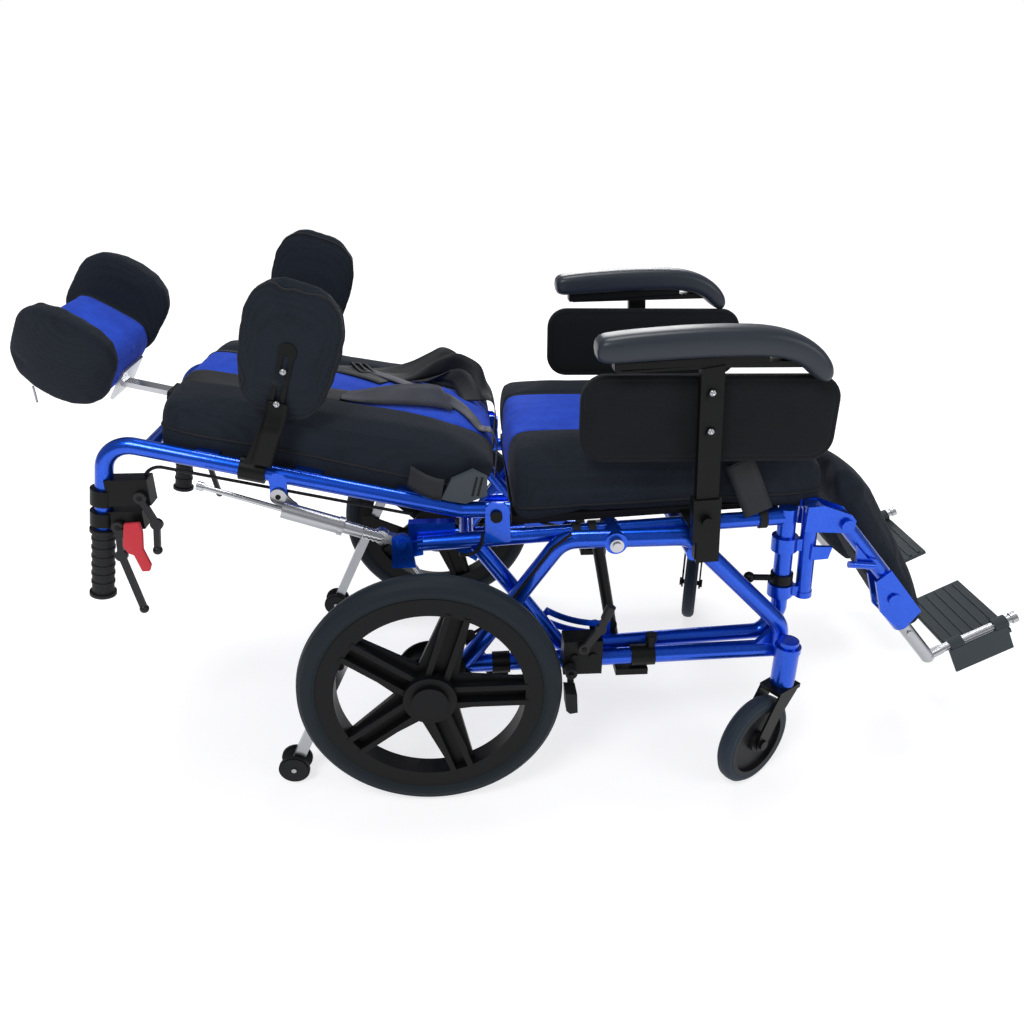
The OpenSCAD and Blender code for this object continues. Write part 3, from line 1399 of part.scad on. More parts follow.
base_frame();
tilt_axle();
drum_brakes();
base_brackets();
anti_tip_tubes();
base_cables();
seat_frame();
seat_pan();
seat_fittings();
seat_cushion();
lap_belt();
seat_cables();
back_frame();
back_cushion();
back_fittings();
push_grips();
shoulder_harness();
back_cables();
rear_rim_r();
rear_rim_l();
rear_tyre_r();
rear_tyre_l();
caster_fork_r();
caster_fork_l();
caster_wheel_r();
caster_wheel_l();
anti_tip_wheels_r();
anti_tip_wheels_l();
wheel_lock_lever_r();
wheel_lock_lever_l();
wheel_lock_shoe_r();
wheel_lock_shoe_l();
arm_post_r();
arm_post_l();
arm_pad_r();
arm_pad_l();
side_panel_r();
side_panel_l();
recline_tubes();
recline_rods();
tilt_tubes();
tilt_rods();
headrest_bar();
headrest_cushion();
lateral_pad_r();
lateral_pad_l();
brake_lever_r();
brake_lever_l();
release_lever_r();
release_lever_l();
hanger_r();
hanger_l();
leg_tube_r();
leg_tube_l();
leg_extension_r();
leg_extension_l();
footplate_r();
footplate_l();
calf_pad_r();
calf_pad_l();
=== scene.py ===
import json
import math

import bmesh
import bpy
from mathutils import Matrix, Vector
from mathutils.bvhtree import BVHTree


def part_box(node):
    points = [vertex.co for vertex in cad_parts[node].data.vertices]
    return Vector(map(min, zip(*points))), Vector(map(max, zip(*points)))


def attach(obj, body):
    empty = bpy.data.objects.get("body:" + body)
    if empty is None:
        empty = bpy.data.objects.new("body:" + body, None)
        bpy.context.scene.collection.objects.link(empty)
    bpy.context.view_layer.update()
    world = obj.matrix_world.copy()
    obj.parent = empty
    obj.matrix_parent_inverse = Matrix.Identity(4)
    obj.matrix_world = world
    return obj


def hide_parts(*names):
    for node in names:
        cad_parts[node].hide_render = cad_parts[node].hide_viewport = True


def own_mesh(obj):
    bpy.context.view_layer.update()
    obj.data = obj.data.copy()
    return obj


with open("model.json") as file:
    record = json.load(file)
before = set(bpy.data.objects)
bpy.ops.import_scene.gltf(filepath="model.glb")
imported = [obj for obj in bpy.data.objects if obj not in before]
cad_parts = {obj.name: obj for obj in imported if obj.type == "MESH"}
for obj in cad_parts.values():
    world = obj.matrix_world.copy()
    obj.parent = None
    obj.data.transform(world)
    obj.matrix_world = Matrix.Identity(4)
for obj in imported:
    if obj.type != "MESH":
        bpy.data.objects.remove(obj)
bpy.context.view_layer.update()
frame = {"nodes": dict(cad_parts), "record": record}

nodes = frame["nodes"]
body_of = {}
for body, names in frame["record"]["behaviour"]["bodies"].items():
    for name in names:
        body_of[name] = body
scene = bpy.context.scene

# Where the chair stands in the row frame: X = 0 at the rear axle, Y = 0 on the middle plane
rim_r, rim_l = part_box("rear_rim_r"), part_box("rear_rim_l")
axle_x = (rim_r[0][0] + rim_r[1][0]) / 2
middle_y = (rim_r[0][1] + rim_l[1][1]) / 2
MM = 1000
BACK_ANGLE = math.radians(13.67)
HINGE_X, HINGE_Z = 105, 449


def at(x, y, z):
    """A point of the chair, given in millimetres."""
    return Vector((x / MM + axle_x, y / MM + middle_y, z / MM))


def back_at(x, y, z):
    """A point in the frame of the back, in millimetres from the recline hinge: along, across and above."""
    c, s = math.cos(BACK_ANGLE), math.sin(BACK_ANGLE)
    return at(HINGE_X + x * c + z * s, y, HINGE_Z - x * s + z * c)


back_x = (back_at(1, 0, 0) - back_at(0, 0, 0)).normalized()
back_z = (back_at(0, 0, 1) - back_at(0, 0, 0)).normalized()
slope = math.atan2(16, 459)
seat_z = Vector((-math.sin(slope), 0, math.cos(slope)))
HEAD_CENTRE = at(-500, 0, 665)
head_turn = Matrix.Rotation(math.radians(32), 3, "Y") @ Matrix.Rotation(math.radians(5), 3, "X")
head_y = head_turn @ Vector((0, 1, 0))
y_axis = Vector((0, 1, 0))
SIDES = (("r", -1), ("l", 1))


# Materials
WEBBING_PITCH = 0.0016
PANEL_EDGE = 0.0006
TREAD_EDGE = 0.0004


class Net:
    """A material's nodes, made and joined by short calls."""

    def __init__(self, name):
        self.mat = bpy.data.materials.new(name)
        self.mat.use_nodes = True
        self.tree = self.mat.node_tree
        self.shader = self.tree.nodes["Principled BSDF"]
        self.coords = self.tree.nodes.new("ShaderNodeTexCoord").outputs["Object"]

    def add(self, kind, inputs=(), **settings):
        node = self.tree.nodes.new(kind)
        for key, value in settings.items():
            setattr(node, key, value)
        for key, value in dict(inputs).items():
            self.put(node.inputs[key], value)
        return node

    def put(self, socket, value):
        if isinstance(value, bpy.types.NodeSocket):
            self.tree.links.new(value, socket)
        else:
            socket.default_value = value

    def maths(self, op, a, b=0.0):
        return self.add("ShaderNodeMath", {0: a, 1: b}, operation=op).outputs[0]

    def vector(self, op, inputs):
        return self.add("ShaderNodeVectorMath", inputs, operation=op)

    def axis(self, direction, origin):
        """Signed distance along a direction from an origin."""
        moved = self.vector("SUBTRACT", {0: self.coords, 1: tuple(origin)})
        return self.vector("DOT_PRODUCT", {0: moved.outputs[0], 1: tuple(direction)}).outputs["Value"]

    def noise(self, scale, detail=3.0, rough=0.55):
        return self.add("ShaderNodeTexNoise", {"Vector": self.coords, "Scale": scale, "Detail": detail,
                                               "Roughness": rough}).outputs["Fac"]

    def mix(self, factor, a, b):
        node = self.add("ShaderNodeMix", data_type="RGBA")
        self.put(node.inputs["Factor"], factor)
        self.put(node.inputs["A"], a)
        self.put(node.inputs["B"], b)
        return node.outputs["Result"]

    def ramp(self, value, low_at, high_at, low_to=0.0, high_to=1.0):
        return self.add("ShaderNodeMapRange", {"Value": value, "From Min": low_at, "From Max": high_at,
                                               "To Min": low_to, "To Max": high_to}).outputs["Result"]

    def bump(self, height, strength, distance):
        node = self.add("ShaderNodeBump", {"Height": height, "Strength": strength, "Distance": distance})
        self.put(self.shader.inputs["Normal"], node.outputs["Normal"])

    def set(self, **values):
        for key, value in values.items():
            self.put(self.shader.inputs[key.replace("_", " ")], value)
        return self.mat


def rgb(r, g, b):
    def lin(v):
        v /= 255
        return v / 12.92 if v <= 0.04045 else ((v + 0.055) / 1.055) ** 2.4

    return (lin(r), lin(g), lin(b), 1)


def plain(name, color, rough, metal=0.0, coat=0.0, grain=0.0, grain_scale=600.0, wear=0.08, specular=0.14):
    """One finish with a little uneven wear in its roughness, and a grain where it has one."""
    net = Net(name)
    cloud = net.noise(9.0)
    net.set(Base_Color=color, Roughness=net.ramp(cloud, 0.25, 0.75, rough - wear / 2, rough + wear / 2),
            Metallic=metal, Specular_IOR_Level=specular, Coat_Weight=coat, Coat_Roughness=0.04)
    if grain:
        net.bump(net.noise(grain_scale, 2.0), grain, 0.0004)
    return net.mat


def candy_paint():
    """Blue lacquer over metal flakes."""
    net = Net("candy blue paint")
    flake = net.add("ShaderNodeTexVoronoi", {"Vector": net.coords, "Scale": 1800.0}).outputs["Color"]
    grey = net.add("ShaderNodeRGBToBW", {"Color": flake}).outputs[0]
    dark, light = rgb(6, 60, 172), rgb(14, 92, 228)
    color = net.mix(net.ramp(grey, 0.2, 0.9), dark, light)
    rough = net.ramp(net.noise(14.0), 0.3, 0.7, 0.26, 0.34)
    net.set(Base_Color=color, Metallic=0.85, Specular_IOR_Level=0.3, Roughness=rough, Coat_Weight=0.6,
            Coat_Roughness=0.04)
    net.bump(net.noise(60.0, 2.0), 0.05, 0.0004)
    return net.mat


def weave(net, pitch, strength):
    """The small open cells of a spacer mesh, as a bump and as a share that darkens the cells with painted
    shade.
    """
    cells = net.add("ShaderNodeTexVoronoi", {"Vector": net.coords, "Scale": 1 / pitch, "Randomness": 0.25},
                    feature="F1").outputs["Distance"]
    height = net.ramp(cells, 0.15, 0.55)
    cloud = net.maths("MULTIPLY", net.noise(28.0, 4.0), 0.5)
    net.bump(net.maths("ADD", height, cloud), strength, 0.0009)
    return height


def cloth(name, inner=None, direction=(0, 1, 0), origin=(0, 0, 0), half=0.0, outer=rgb(31, 36, 44),
          pitch=0.0026):
    """Black spacer mesh, with a smooth coloured panel where the distance from the middle is under half."""
    net = Net(name)
    cells = weave(net, pitch, 0.5)
    tone = net.ramp(net.noise(22.0, 4.0), 0.3, 0.7, 0.85, 1.15)
    # Painted shade: the open cells of the mesh are darkened, times a random tone
    cell_shade_and_tone = net.maths("MULTIPLY", net.ramp(cells, 0.0, 1.0, 0.65, 1.1), tone)
    black = net.mix(cell_shade_and_tone, (0, 0, 0, 1), outer)
    if inner is None:
        color = black
    else:
        away = net.maths("ABSOLUTE", net.axis(direction, origin))
        panel = net.ramp(away, half - PANEL_EDGE, half + PANEL_EDGE)
        blue = net.mix(net.ramp(net.noise(35.0, 3.0), 0.3, 0.7), rgb(33, 64, 172), inner)
        color = net.mix(panel, blue, black)
    net.set(Base_Color=color, Roughness=0.9, Specular_IOR_Level=0.1, Sheen_Weight=0.04, Sheen_Roughness=0.5)
    return net.mat


def webbing(name, color):
    """Woven strap, with fine ribs across its threads."""
    net = Net(name)
    ribs = {"Vector": net.coords, "Scale": 1 / WEBBING_PITCH / 6.3, "Distortion": 0.4, "Detail": 1.0}
    wave = net.add("ShaderNodeTexWave", ribs, wave_type="BANDS", bands_direction="DIAGONAL").outputs["Fac"]
    net.bump(net.maths("ADD", wave, net.noise(500.0)), 0.35, 0.0004)
    tone = net.ramp(net.noise(16.0, 3.0), 0.3, 0.7, 0.8, 1.2)
    net.set(Base_Color=net.mix(tone, (0, 0, 0, 1), color), Roughness=0.6, Specular_IOR_Level=0.3,
            Sheen_Weight=0.04, Sheen_Roughness=0.4)
    return net.mat


def two_tone(name, centre, radius, inside, outside, rough_in, rough_out):
    """A wheel in one piece whose tread differs from its hub."""
    net = Net(name)
    away = net.vector("DISTANCE", {0: net.coords, 1: tuple(centre)}).outputs["Value"]
    edge = net.ramp(away, radius - TREAD_EDGE, radius + TREAD_EDGE)
    rough = net.ramp(edge, 0.0, 1.0, rough_in, rough_out)
    net.set(Base_Color=net.mix(edge, inside, outside), Roughness=rough, Specular_IOR_Level=0.14)
    net.bump(net.noise(420.0, 3.0), 0.08, 0.0004)
    return net.mat


paint = candy_paint()
black_paint = plain("black powder coat", rgb(11, 12, 12), 0.42, grain=0.12, grain_scale=900.0, specular=0.16)
chrome = plain("bright chrome", (0.47, 0.48, 0.5, 1), 0.24, metal=1.0)
zinc = plain("zinc plate", (0.4, 0.41, 0.43, 1), 0.34, metal=1.0, grain=0.06, grain_scale=300.0)
black_plastic = plain("black plastic", rgb(27, 28, 30), 0.5, grain=0.12, grain_scale=1100.0)
rim_plastic = plain("rim plastic", rgb(15, 16, 17), 0.44, grain=0.08, grain_scale=1200.0)
lever_black = plain("lever black", rgb(26, 27, 29), 0.38, specular=0.25)
grey_pad = plain("moulded grey pad", rgb(40, 46, 54), 0.36, grain=0.1, grain_scale=700.0, specular=0.3)
tyre = plain("solid tyre", rgb(29, 36, 42), 0.58, grain=0.16, grain_scale=260.0, specular=0.12)
grip_rubber = plain("grip rubber", rgb(25, 26, 28), 0.62, grain=0.2, grain_scale=1300.0, specular=0.25)
board = plain("seat board", rgb(23, 23, 25), 0.7)
red_plastic = plain("red lever plastic", rgb(188, 52, 62), 0.42, grain=0.05)
buckle_plastic = plain("buckle plastic", rgb(62, 69, 74), 0.45, grain=0.08)
plate_grey = plain("footplate grey", rgb(52, 59, 63), 0.5, grain=0.12, grain_scale=900.0)
cable_black = plain("cable sleeve", rgb(20, 20, 22), 0.45)
strap_black = webbing("webbing", rgb(28, 31, 35))
strap_grey = webbing("light webbing", rgb(60, 62, 72))
piping = plain("piping", rgb(22, 24, 28), 0.75, grain=0.2, grain_scale=1500.0, specular=0.3)

# Half widths of the blue panels
SEAT_STRIPE, BACK_STRIPE, HEAD_STRIPE = 0.1, 0.094, 0.0665
royal = rgb(40, 76, 192)
on_middle = (0, middle_y, 0)
seat_cloth = cloth("seat cover", royal, (0, 1, 0), on_middle, SEAT_STRIPE)
back_cloth = cloth("back cover", royal, (0, 1, 0), on_middle, BACK_STRIPE)
head_cloth = cloth("head cover", royal, tuple(head_y), HEAD_CENTRE, HEAD_STRIPE)
black_cloth = cloth("black spacer mesh")
panel_cloth = cloth("panel cover", outer=rgb(25, 27, 30), pitch=0.0018)

finish_of = {
    "base_frame": paint, "seat_frame": paint, "back_frame": paint, "base_brackets": black_paint,
    "seat_fittings": black_paint, "back_fittings": black_paint, "drum_brakes": black_paint,
    "tilt_axle": chrome, "recline_rods": chrome, "tilt_rods": chrome, "headrest_bar": chrome,
    "anti_tip_tubes": zinc, "recline_tubes": zinc, "tilt_tubes": black_paint, "seat_pan": board,
    "push_grips": grip_rubber, "base_cables": cable_black, "seat_cables": cable_black,
    "back_cables": cable_black, "lap_belt": black_plastic, "shoulder_harness": buckle_plastic,
    "seat_cushion": seat_cloth, "back_cushion": back_cloth, "headrest_cushion": head_cloth,
}
for start, finish in (("rear_rim", rim_plastic), ("rear_tyre", tyre), ("caster_fork", black_paint),
                      ("anti_tip_wheels", black_plastic), ("wheel_lock_lever", lever_black),
                      ("wheel_lock_shoe", black_plastic), ("arm_post", black_paint), ("arm_pad", grey_pad),
                      ("side_panel", panel_cloth), ("brake_lever", lever_black),
                      ("release_lever", lever_black), ("hanger", paint), ("leg_tube", paint),
                      ("leg_extension", zinc), ("footplate", plate_grey), ("lateral_pad", black_cloth),
                      ("calf_pad", black_cloth)):
    for side in "rl":
        finish_of[start + "_" + side] = finish
CASTER_HUB_SHARE = 0.8
for side in "rl":
    lo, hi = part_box("caster_wheel_" + side)
    centre = (Vector(lo) + Vector(hi)) / 2
    hub_r = (hi[2] - lo[2]) / 2 * CASTER_HUB_SHARE
    finish_of["caster_wheel_" + side] = two_tone("caster wheel " + side, centre, hub_r, rgb(26, 27, 30),
                                                 rgb(40, 48, 58), 0.45, 0.58)


def dress(ob, finish):
    """Puts a finish in every material slot of an object."""
    if not ob.material_slots:
        ob.data.materials.append(finish)
    for slot in ob.material_slots:
        slot.link = "OBJECT"
        slot.material = finish


for name, ob in nodes.items():
    dress(ob, finish_of.get(name, black_plastic))


# Soft pieces
def loose_parts(mesh):
    """The separate closed parts of a mesh, largest first, as lists of faces' vertex indices."""
    bm = bmesh.new()
    bm.from_mesh(mesh)
    bmesh.ops.remove_doubles(bm, verts=bm.verts, dist=1e-6)
    bm.verts.ensure_lookup_table()
    left, parts = set(bm.verts), []
    while left:
        todo, part = [left.pop()], []
        while todo:
            v = todo.pop()
            part.append(v)
            for e in v.link_edges:
                o = e.other_vert(v)
                if o in left:
                    left.discard(o)
                    todo.append(o)
        parts.append(part)
    result = []
    for part in parts:
        index = {v: i for i, v in enumerate(part)}
        faces = {f for v in part for f in v.link_faces}
        result.append(([v.co.copy() for v in part], [[index[v] for v in f.verts] for f in faces]))
    bm.free()
    return sorted(result, key=lambda r: -size_of(r[0]))


def size_of(points):
    lo = [min(p[i] for p in points) for i in range(3)]
    hi = [max(p[i] for p in points) for i in range(3)]
    return (hi[0] - lo[0]) * (hi[1] - lo[1]) * (hi[2] - lo[2])


def new_mesh(name, verts, faces, finish=None):
    mesh = bpy.data.meshes.new(name)
    mesh.from_pydata([tuple(v) for v in verts], [], faces)
    mesh.update()
    ob = bpy.data.objects.new(name, mesh)
    scene.collection.objects.link(ob)
    if finish:
        mesh.materials.append(finish)
    return ob


def final_mesh(ob):
    """The mesh of an object with its modifiers applied."""
    bpy.context.view_layer.update()
    return bpy.data.meshes.new_from_object(ob.evaluated_get(bpy.context.evaluated_depsgraph_get()))


def bake(ob):
    """Applies the object's modifiers."""
    mesh = final_mesh(ob)
    ob.modifiers.clear()
    ob.data = mesh


def smooth(ob):
    for p in ob.data.polygons:
        p.use_smooth = True


def face_outward(ob):
    """Turns the faces outwards and shades them smooth."""
    bm = bmesh.new()
    bm.from_mesh(ob.data)
    bmesh.ops.recalc_face_normals(bm, faces=bm.faces)
    bm.to_mesh(ob.data)
    bm.free()
    smooth(ob)


def ring_sides(rings, around):
    """The faces between rings of equally many points."""
    faces = []
    for i in range(rings - 1):
        for k in range(around):
            j = (k + 1) % around
            faces.append([i * around + k, i * around + j, (i + 1) * around + j, (i + 1) * around + k])
    return faces


def ring_ends(rings, around):
    """One face on the first ring and one on the last."""
    return [list(range(around)), list(range((rings - 1) * around, rings * around))]


CLOTH_FRAMES = 20
LEAST_SEAM_WEIGHT = 0.02
soft_pieces = []


def relax(ob, rounds):
    even = ob.modifiers.new("Smooth", "SMOOTH")
    even.factor, even.iterations = 0.5, rounds


def soft(node, finish, voxel, shrink=0.003, pressure=4.0, cap=0.008, draw_in=None, islands=1):
    """A sewn cover over the form of a node, a little smaller than it, to be blown up by the cloth run."""
    verts, faces = [], []
    for points, sides in loose_parts(nodes[node].data)[:islands]:
        faces += [[i + len(verts) for i in f] for f in sides]
        verts += points
    ob = new_mesh(node + "_cover", verts, faces, finish)
    remesh = ob.modifiers.new("Remesh", "REMESH")
    remesh.mode, remesh.voxel_size = "VOXEL", voxel
    relax(ob, 6)
    bake(ob)
    normals = [v.normal.copy() for v in ob.data.vertices]
    for v, n in zip(ob.data.vertices, normals):
        v.co -= n * shrink
    soft_pieces.append((ob, pressure, cap, draw_in))
    return ob


def blow_up():
    """One cloth run for every cover. A seam is held still, so the cloth puffs up beside it."""
    rest = {}
    for ob, pressure, cap, draw_in in soft_pieces:
        rest[ob.name] = [v.co.copy() for v in ob.data.vertices]
        group = ob.vertex_groups.new(name="seam")
        for v in ob.data.vertices:
            if draw_in:
                weight = draw_in(v.co)
                if weight > LEAST_SEAM_WEIGHT:
                    group.add([v.index], min(1.0, weight), "REPLACE")
        mod = ob.modifiers.new("Cloth", "CLOTH")
        s = mod.settings
        s.quality = 4
        s.mass = 0.3
        s.tension_stiffness = s.compression_stiffness = 12
        s.shear_stiffness = 6
        s.bending_stiffness = 0.6
        s.use_pressure = True
        s.uniform_pressure_force = pressure
        s.effector_weights.gravity = 0
        if draw_in:
            s.vertex_group_mass = "seam"
        mod.collision_settings.use_self_collision = False
        mod.point_cache.frame_start, mod.point_cache.frame_end = 1, CLOTH_FRAMES
    scene.frame_start, scene.frame_end = 1, CLOTH_FRAMES
    for f in range(1, CLOTH_FRAMES + 1):
        scene.frame_set(f)
    dg = bpy.context.evaluated_depsgraph_get()
    for ob, pressure, cap, draw_in in soft_pieces:
        mesh = bpy.data.meshes.new_from_object(ob.evaluated_get(dg))
        moved = [v.co.copy() for v in mesh.vertices]
        ob.modifiers.clear()
        for v, a, b in zip(ob.data.vertices, rest[ob.name], moved):
            step = b - a
            v.co = a + (step * (cap / step.length) if step.length > cap else step)
    scene.frame_set(1)


def refine(ob, grooves=()):
    """A finer mesh, then the seams pressed in. A groove is (point, normal, depth, half width)."""
    relax(ob, 2)
    sub = ob.modifiers.new("Subsurf", "SUBSURF")
    sub.levels = sub.render_levels = 1
    bake(ob)
    normals = [v.normal.copy() for v in ob.data.vertices]
    for v, n in zip(ob.data.vertices, normals):
        for point, normal, depth, half in grooves:
            d = (v.co - point).dot(normal) / half
            if abs(d) < 3:
                v.co -= n * depth * math.exp(-d * d)
    smooth(ob)


def both_seams(origin, across, half, depth, width):
    """The grooves along the two edges of a panel."""
    return [(origin + across * o, across, depth, width) for o in (half, -half)]


def contour(ob, point, normal, lift):
    """The longest line where a plane cuts a mesh, moved away from its middle by lift."""
    bm = bmesh.new()
    bm.from_mesh(ob.data)
    geom = list(bm.verts) + list(bm.edges) + list(bm.faces)
    cut = bmesh.ops.bisect_plane(bm, geom=geom, plane_co=point, plane_no=normal)["geom_cut"]
    edges = [e for e in cut if isinstance(e, bmesh.types.BMEdge)]
    near = {}
    for e in edges:
        a, b = e.verts
        near.setdefault(a, []).append(b)
        near.setdefault(b, []).append(a)
    seen, best = set(), []
    for start in near:
        if start in seen:
            continue
        line, here = [start], start
        seen.add(start)
        while True:
            step = [v for v in near[here] if v not in seen]
            if not step:
                break
            here = step[0]
            seen.add(here)
            line.append(here)
        if len(line) > len(best):
            best = line
    points = [v.co.copy() for v in best]
    bm.free()
    if lift and points:
        middle = sum(points, Vector()) / len(points)
        points = [p + (p - middle).normalized() * lift for p in points]
    return points


def evenly(points, step):
    """Points at equal steps along a closed line."""
    line = points + [points[0]]
    runs = [0.0]
    for a, b in zip(line, line[1:]):
        runs.append(runs[-1] + (b - a).length)
    count = max(3, round(runs[-1] / step))
    result, k = [], 0
    for i in range(count):
        t = runs[-1] * i / count
        while k < len(runs) - 2 and runs[k + 1] < t:
            k += 1
        span = runs[k + 1] - runs[k]
        result.append(line[k].lerp(line[k + 1], (t - runs[k]) / span if span > 1e-9 else 0))
    return result


def tube_along(name, points, radius, finish, closed=False):
    curve = bpy.data.curves.new(name, "CURVE")
    curve.dimensions = "3D"
    spline = curve.splines.new("POLY")
    spline.points.add(len(points) - 1)
    for p, co in zip(spline.points, points):
        p.co = (*co, 1)
    spline.use_cyclic_u = closed
    curve.bevel_depth = radius
    curve.bevel_resolution = 3
    curve.use_fill_caps = True
    line = bpy.data.objects.new(name, curve)
    scene.collection.objects.link(line)
    mesh = final_mesh(line)
    bpy.data.objects.remove(line)
    ob = bpy.data.objects.new(name, mesh)
    scene.collection.objects.link(ob)
    mesh.materials.clear()
    mesh.materials.append(finish)
    smooth(ob)
    return ob


def welt(name, ob, point, normal, radius, body, lift=0.0002):
    """A piping cord round a piece, where a plane cuts it."""
    cord = tube_along(name, evenly(contour(ob, point, normal, lift), 0.006), radius, piping, closed=True)
    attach(cord, body)
    return cord


def curve_points(points, per):
    """A smooth line through points."""
    p = [points[0]] + points + [points[-1]]
    result = []
    for i in range(1, len(p) - 2):
        for k in range(per):
            t = k / per
            a, b, c, d = p[i - 1], p[i], p[i + 1], p[i + 2]
            result.append(0.5 * ((2 * b) + (c - a) * t + (2 * a - 5 * b + 4 * c - d) * t * t
                                 + (3 * b - a - 3 * c + d) * t ** 3))
    return result + [points[-1]]


# Straps
STRAP_GAP = 0.0003


def ribbon(name, rows, thick, finish):
    """A flat strap through rows of points, each row running across it."""
    count, wide = len(rows), len(rows[0])
    faces, normals = [], []
    for i in range(count):
        a, b = rows[max(0, i - 1)], rows[min(count - 1, i + 1)]
        row = []
        for k in range(wide):
            along = b[k] - a[k]
            across = rows[i][min(wide - 1, k + 1)] - rows[i][max(0, k - 1)]
            row.append(along.cross(across).normalized())
        normals.append(row)
    verts = [rows[i][k] + normals[i][k] * thick / 2 for i in range(count) for k in range(wide)]
    verts += [rows[i][k] - normals[i][k] * thick / 2 for i in range(count) for k in range(wide)]

    def ix(i, k, under=0):
        return i * wide + k + under * count * wide

    for i in range(count - 1):
        for k in range(wide - 1):
            faces.append([ix(i, k), ix(i, k + 1), ix(i + 1, k + 1), ix(i + 1, k)])
            faces.append([ix(i, k, 1), ix(i + 1, k, 1), ix(i + 1, k + 1, 1), ix(i, k + 1, 1)])
        faces.append([ix(i, 0), ix(i + 1, 0), ix(i + 1, 0, 1), ix(i, 0, 1)])
        faces.append([ix(i, wide - 1), ix(i, wide - 1, 1), ix(i + 1, wide - 1, 1), ix(i + 1, wide - 1)])
    for i in (0, count - 1):
        for k in range(wide - 1):
            end = [ix(i, k), ix(i, k + 1), ix(i, k + 1, 1), ix(i, k, 1)]
            faces.append(end if i else end[::-1])
    ob = new_mesh(name, verts, faces, finish)
    face_outward(ob)
    return ob


def free_ribbon(name, centres, across, width, thick, finish, per=6, wide=5):
    """A strap along free points, with the direction across it at each point."""
    line = curve_points([Vector(c) for c in centres], per)
    sides = curve_points([Vector(a).normalized() for a in across], per)
    rows = []
    for c, a in zip(line, sides):
        a = a.normalized()
        rows.append([c + a * width * (k / (wide - 1) - 0.5) for k in range(wide)])
    return ribbon(name, rows, thick, finish)


def laid_ribbon(name, tree, rays, across, width, thick, finish, wide=7):
    """A strap pressed on a surface: each ray is (origin, direction) of its middle line."""
    rows = []
    for origin, direction in rays:
        row = []
        for k in range(wide):
            o = origin + across * width * (k / (wide - 1) - 0.5)
            hit, normal, _, _ = tree.ray_cast(o, direction)
            if hit is None:
                row = None
                break
            row.append(hit + normal * (thick / 2 + STRAP_GAP))
        if row:
            rows.append(row)
    for _ in range(2):
        for i in range(1, len(rows) - 1):
            rows[i] = [rows[i][k] * 0.5 + (rows[i - 1][k] + rows[i + 1][k]) * 0.25 for k in range(wide)]
    return ribbon(name, rows, thick, finish)


def blocky(name, centre, turn, parts, finish, bevel):
    """Rounded blocks in one piece. A part is (its middle, its full lengths), in metres."""
    bm = bmesh.new()
    for middle, lengths in parts:
        made = bmesh.ops.create_cube(bm, size=1.0)["verts"]
        for v in made:
            v.co = Vector((v.co[i] * lengths[i] + middle[i] for i in range(3)))
    mesh = bpy.data.meshes.new(name)
    bm.to_mesh(mesh)
    bm.free()
    ob = bpy.data.objects.new(name, mesh)
    scene.collection.objects.link(ob)
    mesh.materials.append(finish)
    mod = ob.modifiers.new("Bevel", "BEVEL")
    mod.width, mod.segments = bevel, 2
    bake(ob)
    for v in ob.data.vertices:
        v.co = centre + turn @ v.co
    for p in ob.data.polygons:
        p.use_smooth = False
    return ob


def seam_weight(normal, origin, offset, half=0.005):
    """How firmly the cover is held at a place: 1 on the two seams at offset from the middle."""
    def weight(co):
        away = abs((co - origin).dot(normal))
        return math.exp(-((away - offset) / half) ** 2)

    return weight


seat_origin = Vector((0, middle_y, 0))
seat_seams = seam_weight(y_axis, seat_origin, SEAT_STRIPE)
back_seams = seam_weight(y_axis, seat_origin, BACK_STRIPE)
head_seams = seam_weight(head_y, HEAD_CENTRE, HEAD_STRIPE + 0.002, 0.004)
seat = soft("seat_cushion", seat_cloth, 0.006, cap=0.007, draw_in=seat_seams)
back = soft("back_cushion", back_cloth, 0.006, cap=0.007, draw_in=back_seams)
head = soft("headrest_cushion", head_cloth, 0.0045, shrink=0.0, pressure=6.0, cap=0.009, draw_in=head_seams,
            islands=9)
laterals = {s: soft("lateral_pad_" + s, black_cloth, 0.0045, shrink=0.001, cap=0.006) for s in "rl"}
calves = {s: soft("calf_pad_" + s, black_cloth, 0.005, cap=0.006) for s in "rl"}
blow_up()


# Skirts: from which side distance and below which height, and how far down and out
SKIRT_HEIGHT = 0.05
SEAT_SKIRT = {"inner": 0.165, "fade": 0.025, "top": 0.05, "drop": 0.028, "spread": 0.005}
BACK_SKIRT = {"inner": 0.15, "fade": 0.03, "top": 0.06, "drop": 0.034, "spread": 0.004}


def part_of(value, start, length):
    """0 below start, 1 beyond start + length, and even between."""
    return min(1.0, max(0.0, (value - start) / length))


def hang_skirt(v, up, side, rise, inner, fade, top, drop, spread):
    """Moves a point of a cushion's lower side edge down by drop and out by spread, over the frame tube."""
    if side > inner and rise < top:
        share = min(1.0, part_of(side, inner, fade) * (top - rise) / SKIRT_HEIGHT)
        v.co -= up * drop * share
        v.co.y += math.copysign(spread * share, v.co.y - middle_y)


# The seat cushion is dished in its middle
SEAT_UNDER = at(350, 0, 440)
TOP_FROM, TOP_FADE, TOP_SETTLE = 0.02, 0.05, 0.05
DISH_FROM, DISH_FADE, DISH_DEPTH = 0.07, 0.09, 0.011
refine(seat, both_seams(seat_origin, y_axis, SEAT_STRIPE, 0.0035, 0.004))
for v in seat.data.vertices:
    side = abs(v.co.y - middle_y)
    rise = (v.co - SEAT_UNDER).dot(seat_z)
    if rise > TOP_FROM:
        dish = 1 - part_of(side, DISH_FROM, DISH_FADE)
        dish = DISH_DEPTH * dish * dish * (3 - 2 * dish) * part_of(rise, TOP_FROM, TOP_FADE)
        v.co -= seat_z * ((rise - TOP_FROM) * TOP_SETTLE + dish)
    hang_skirt(v, seat_z, side, rise, **SEAT_SKIRT)

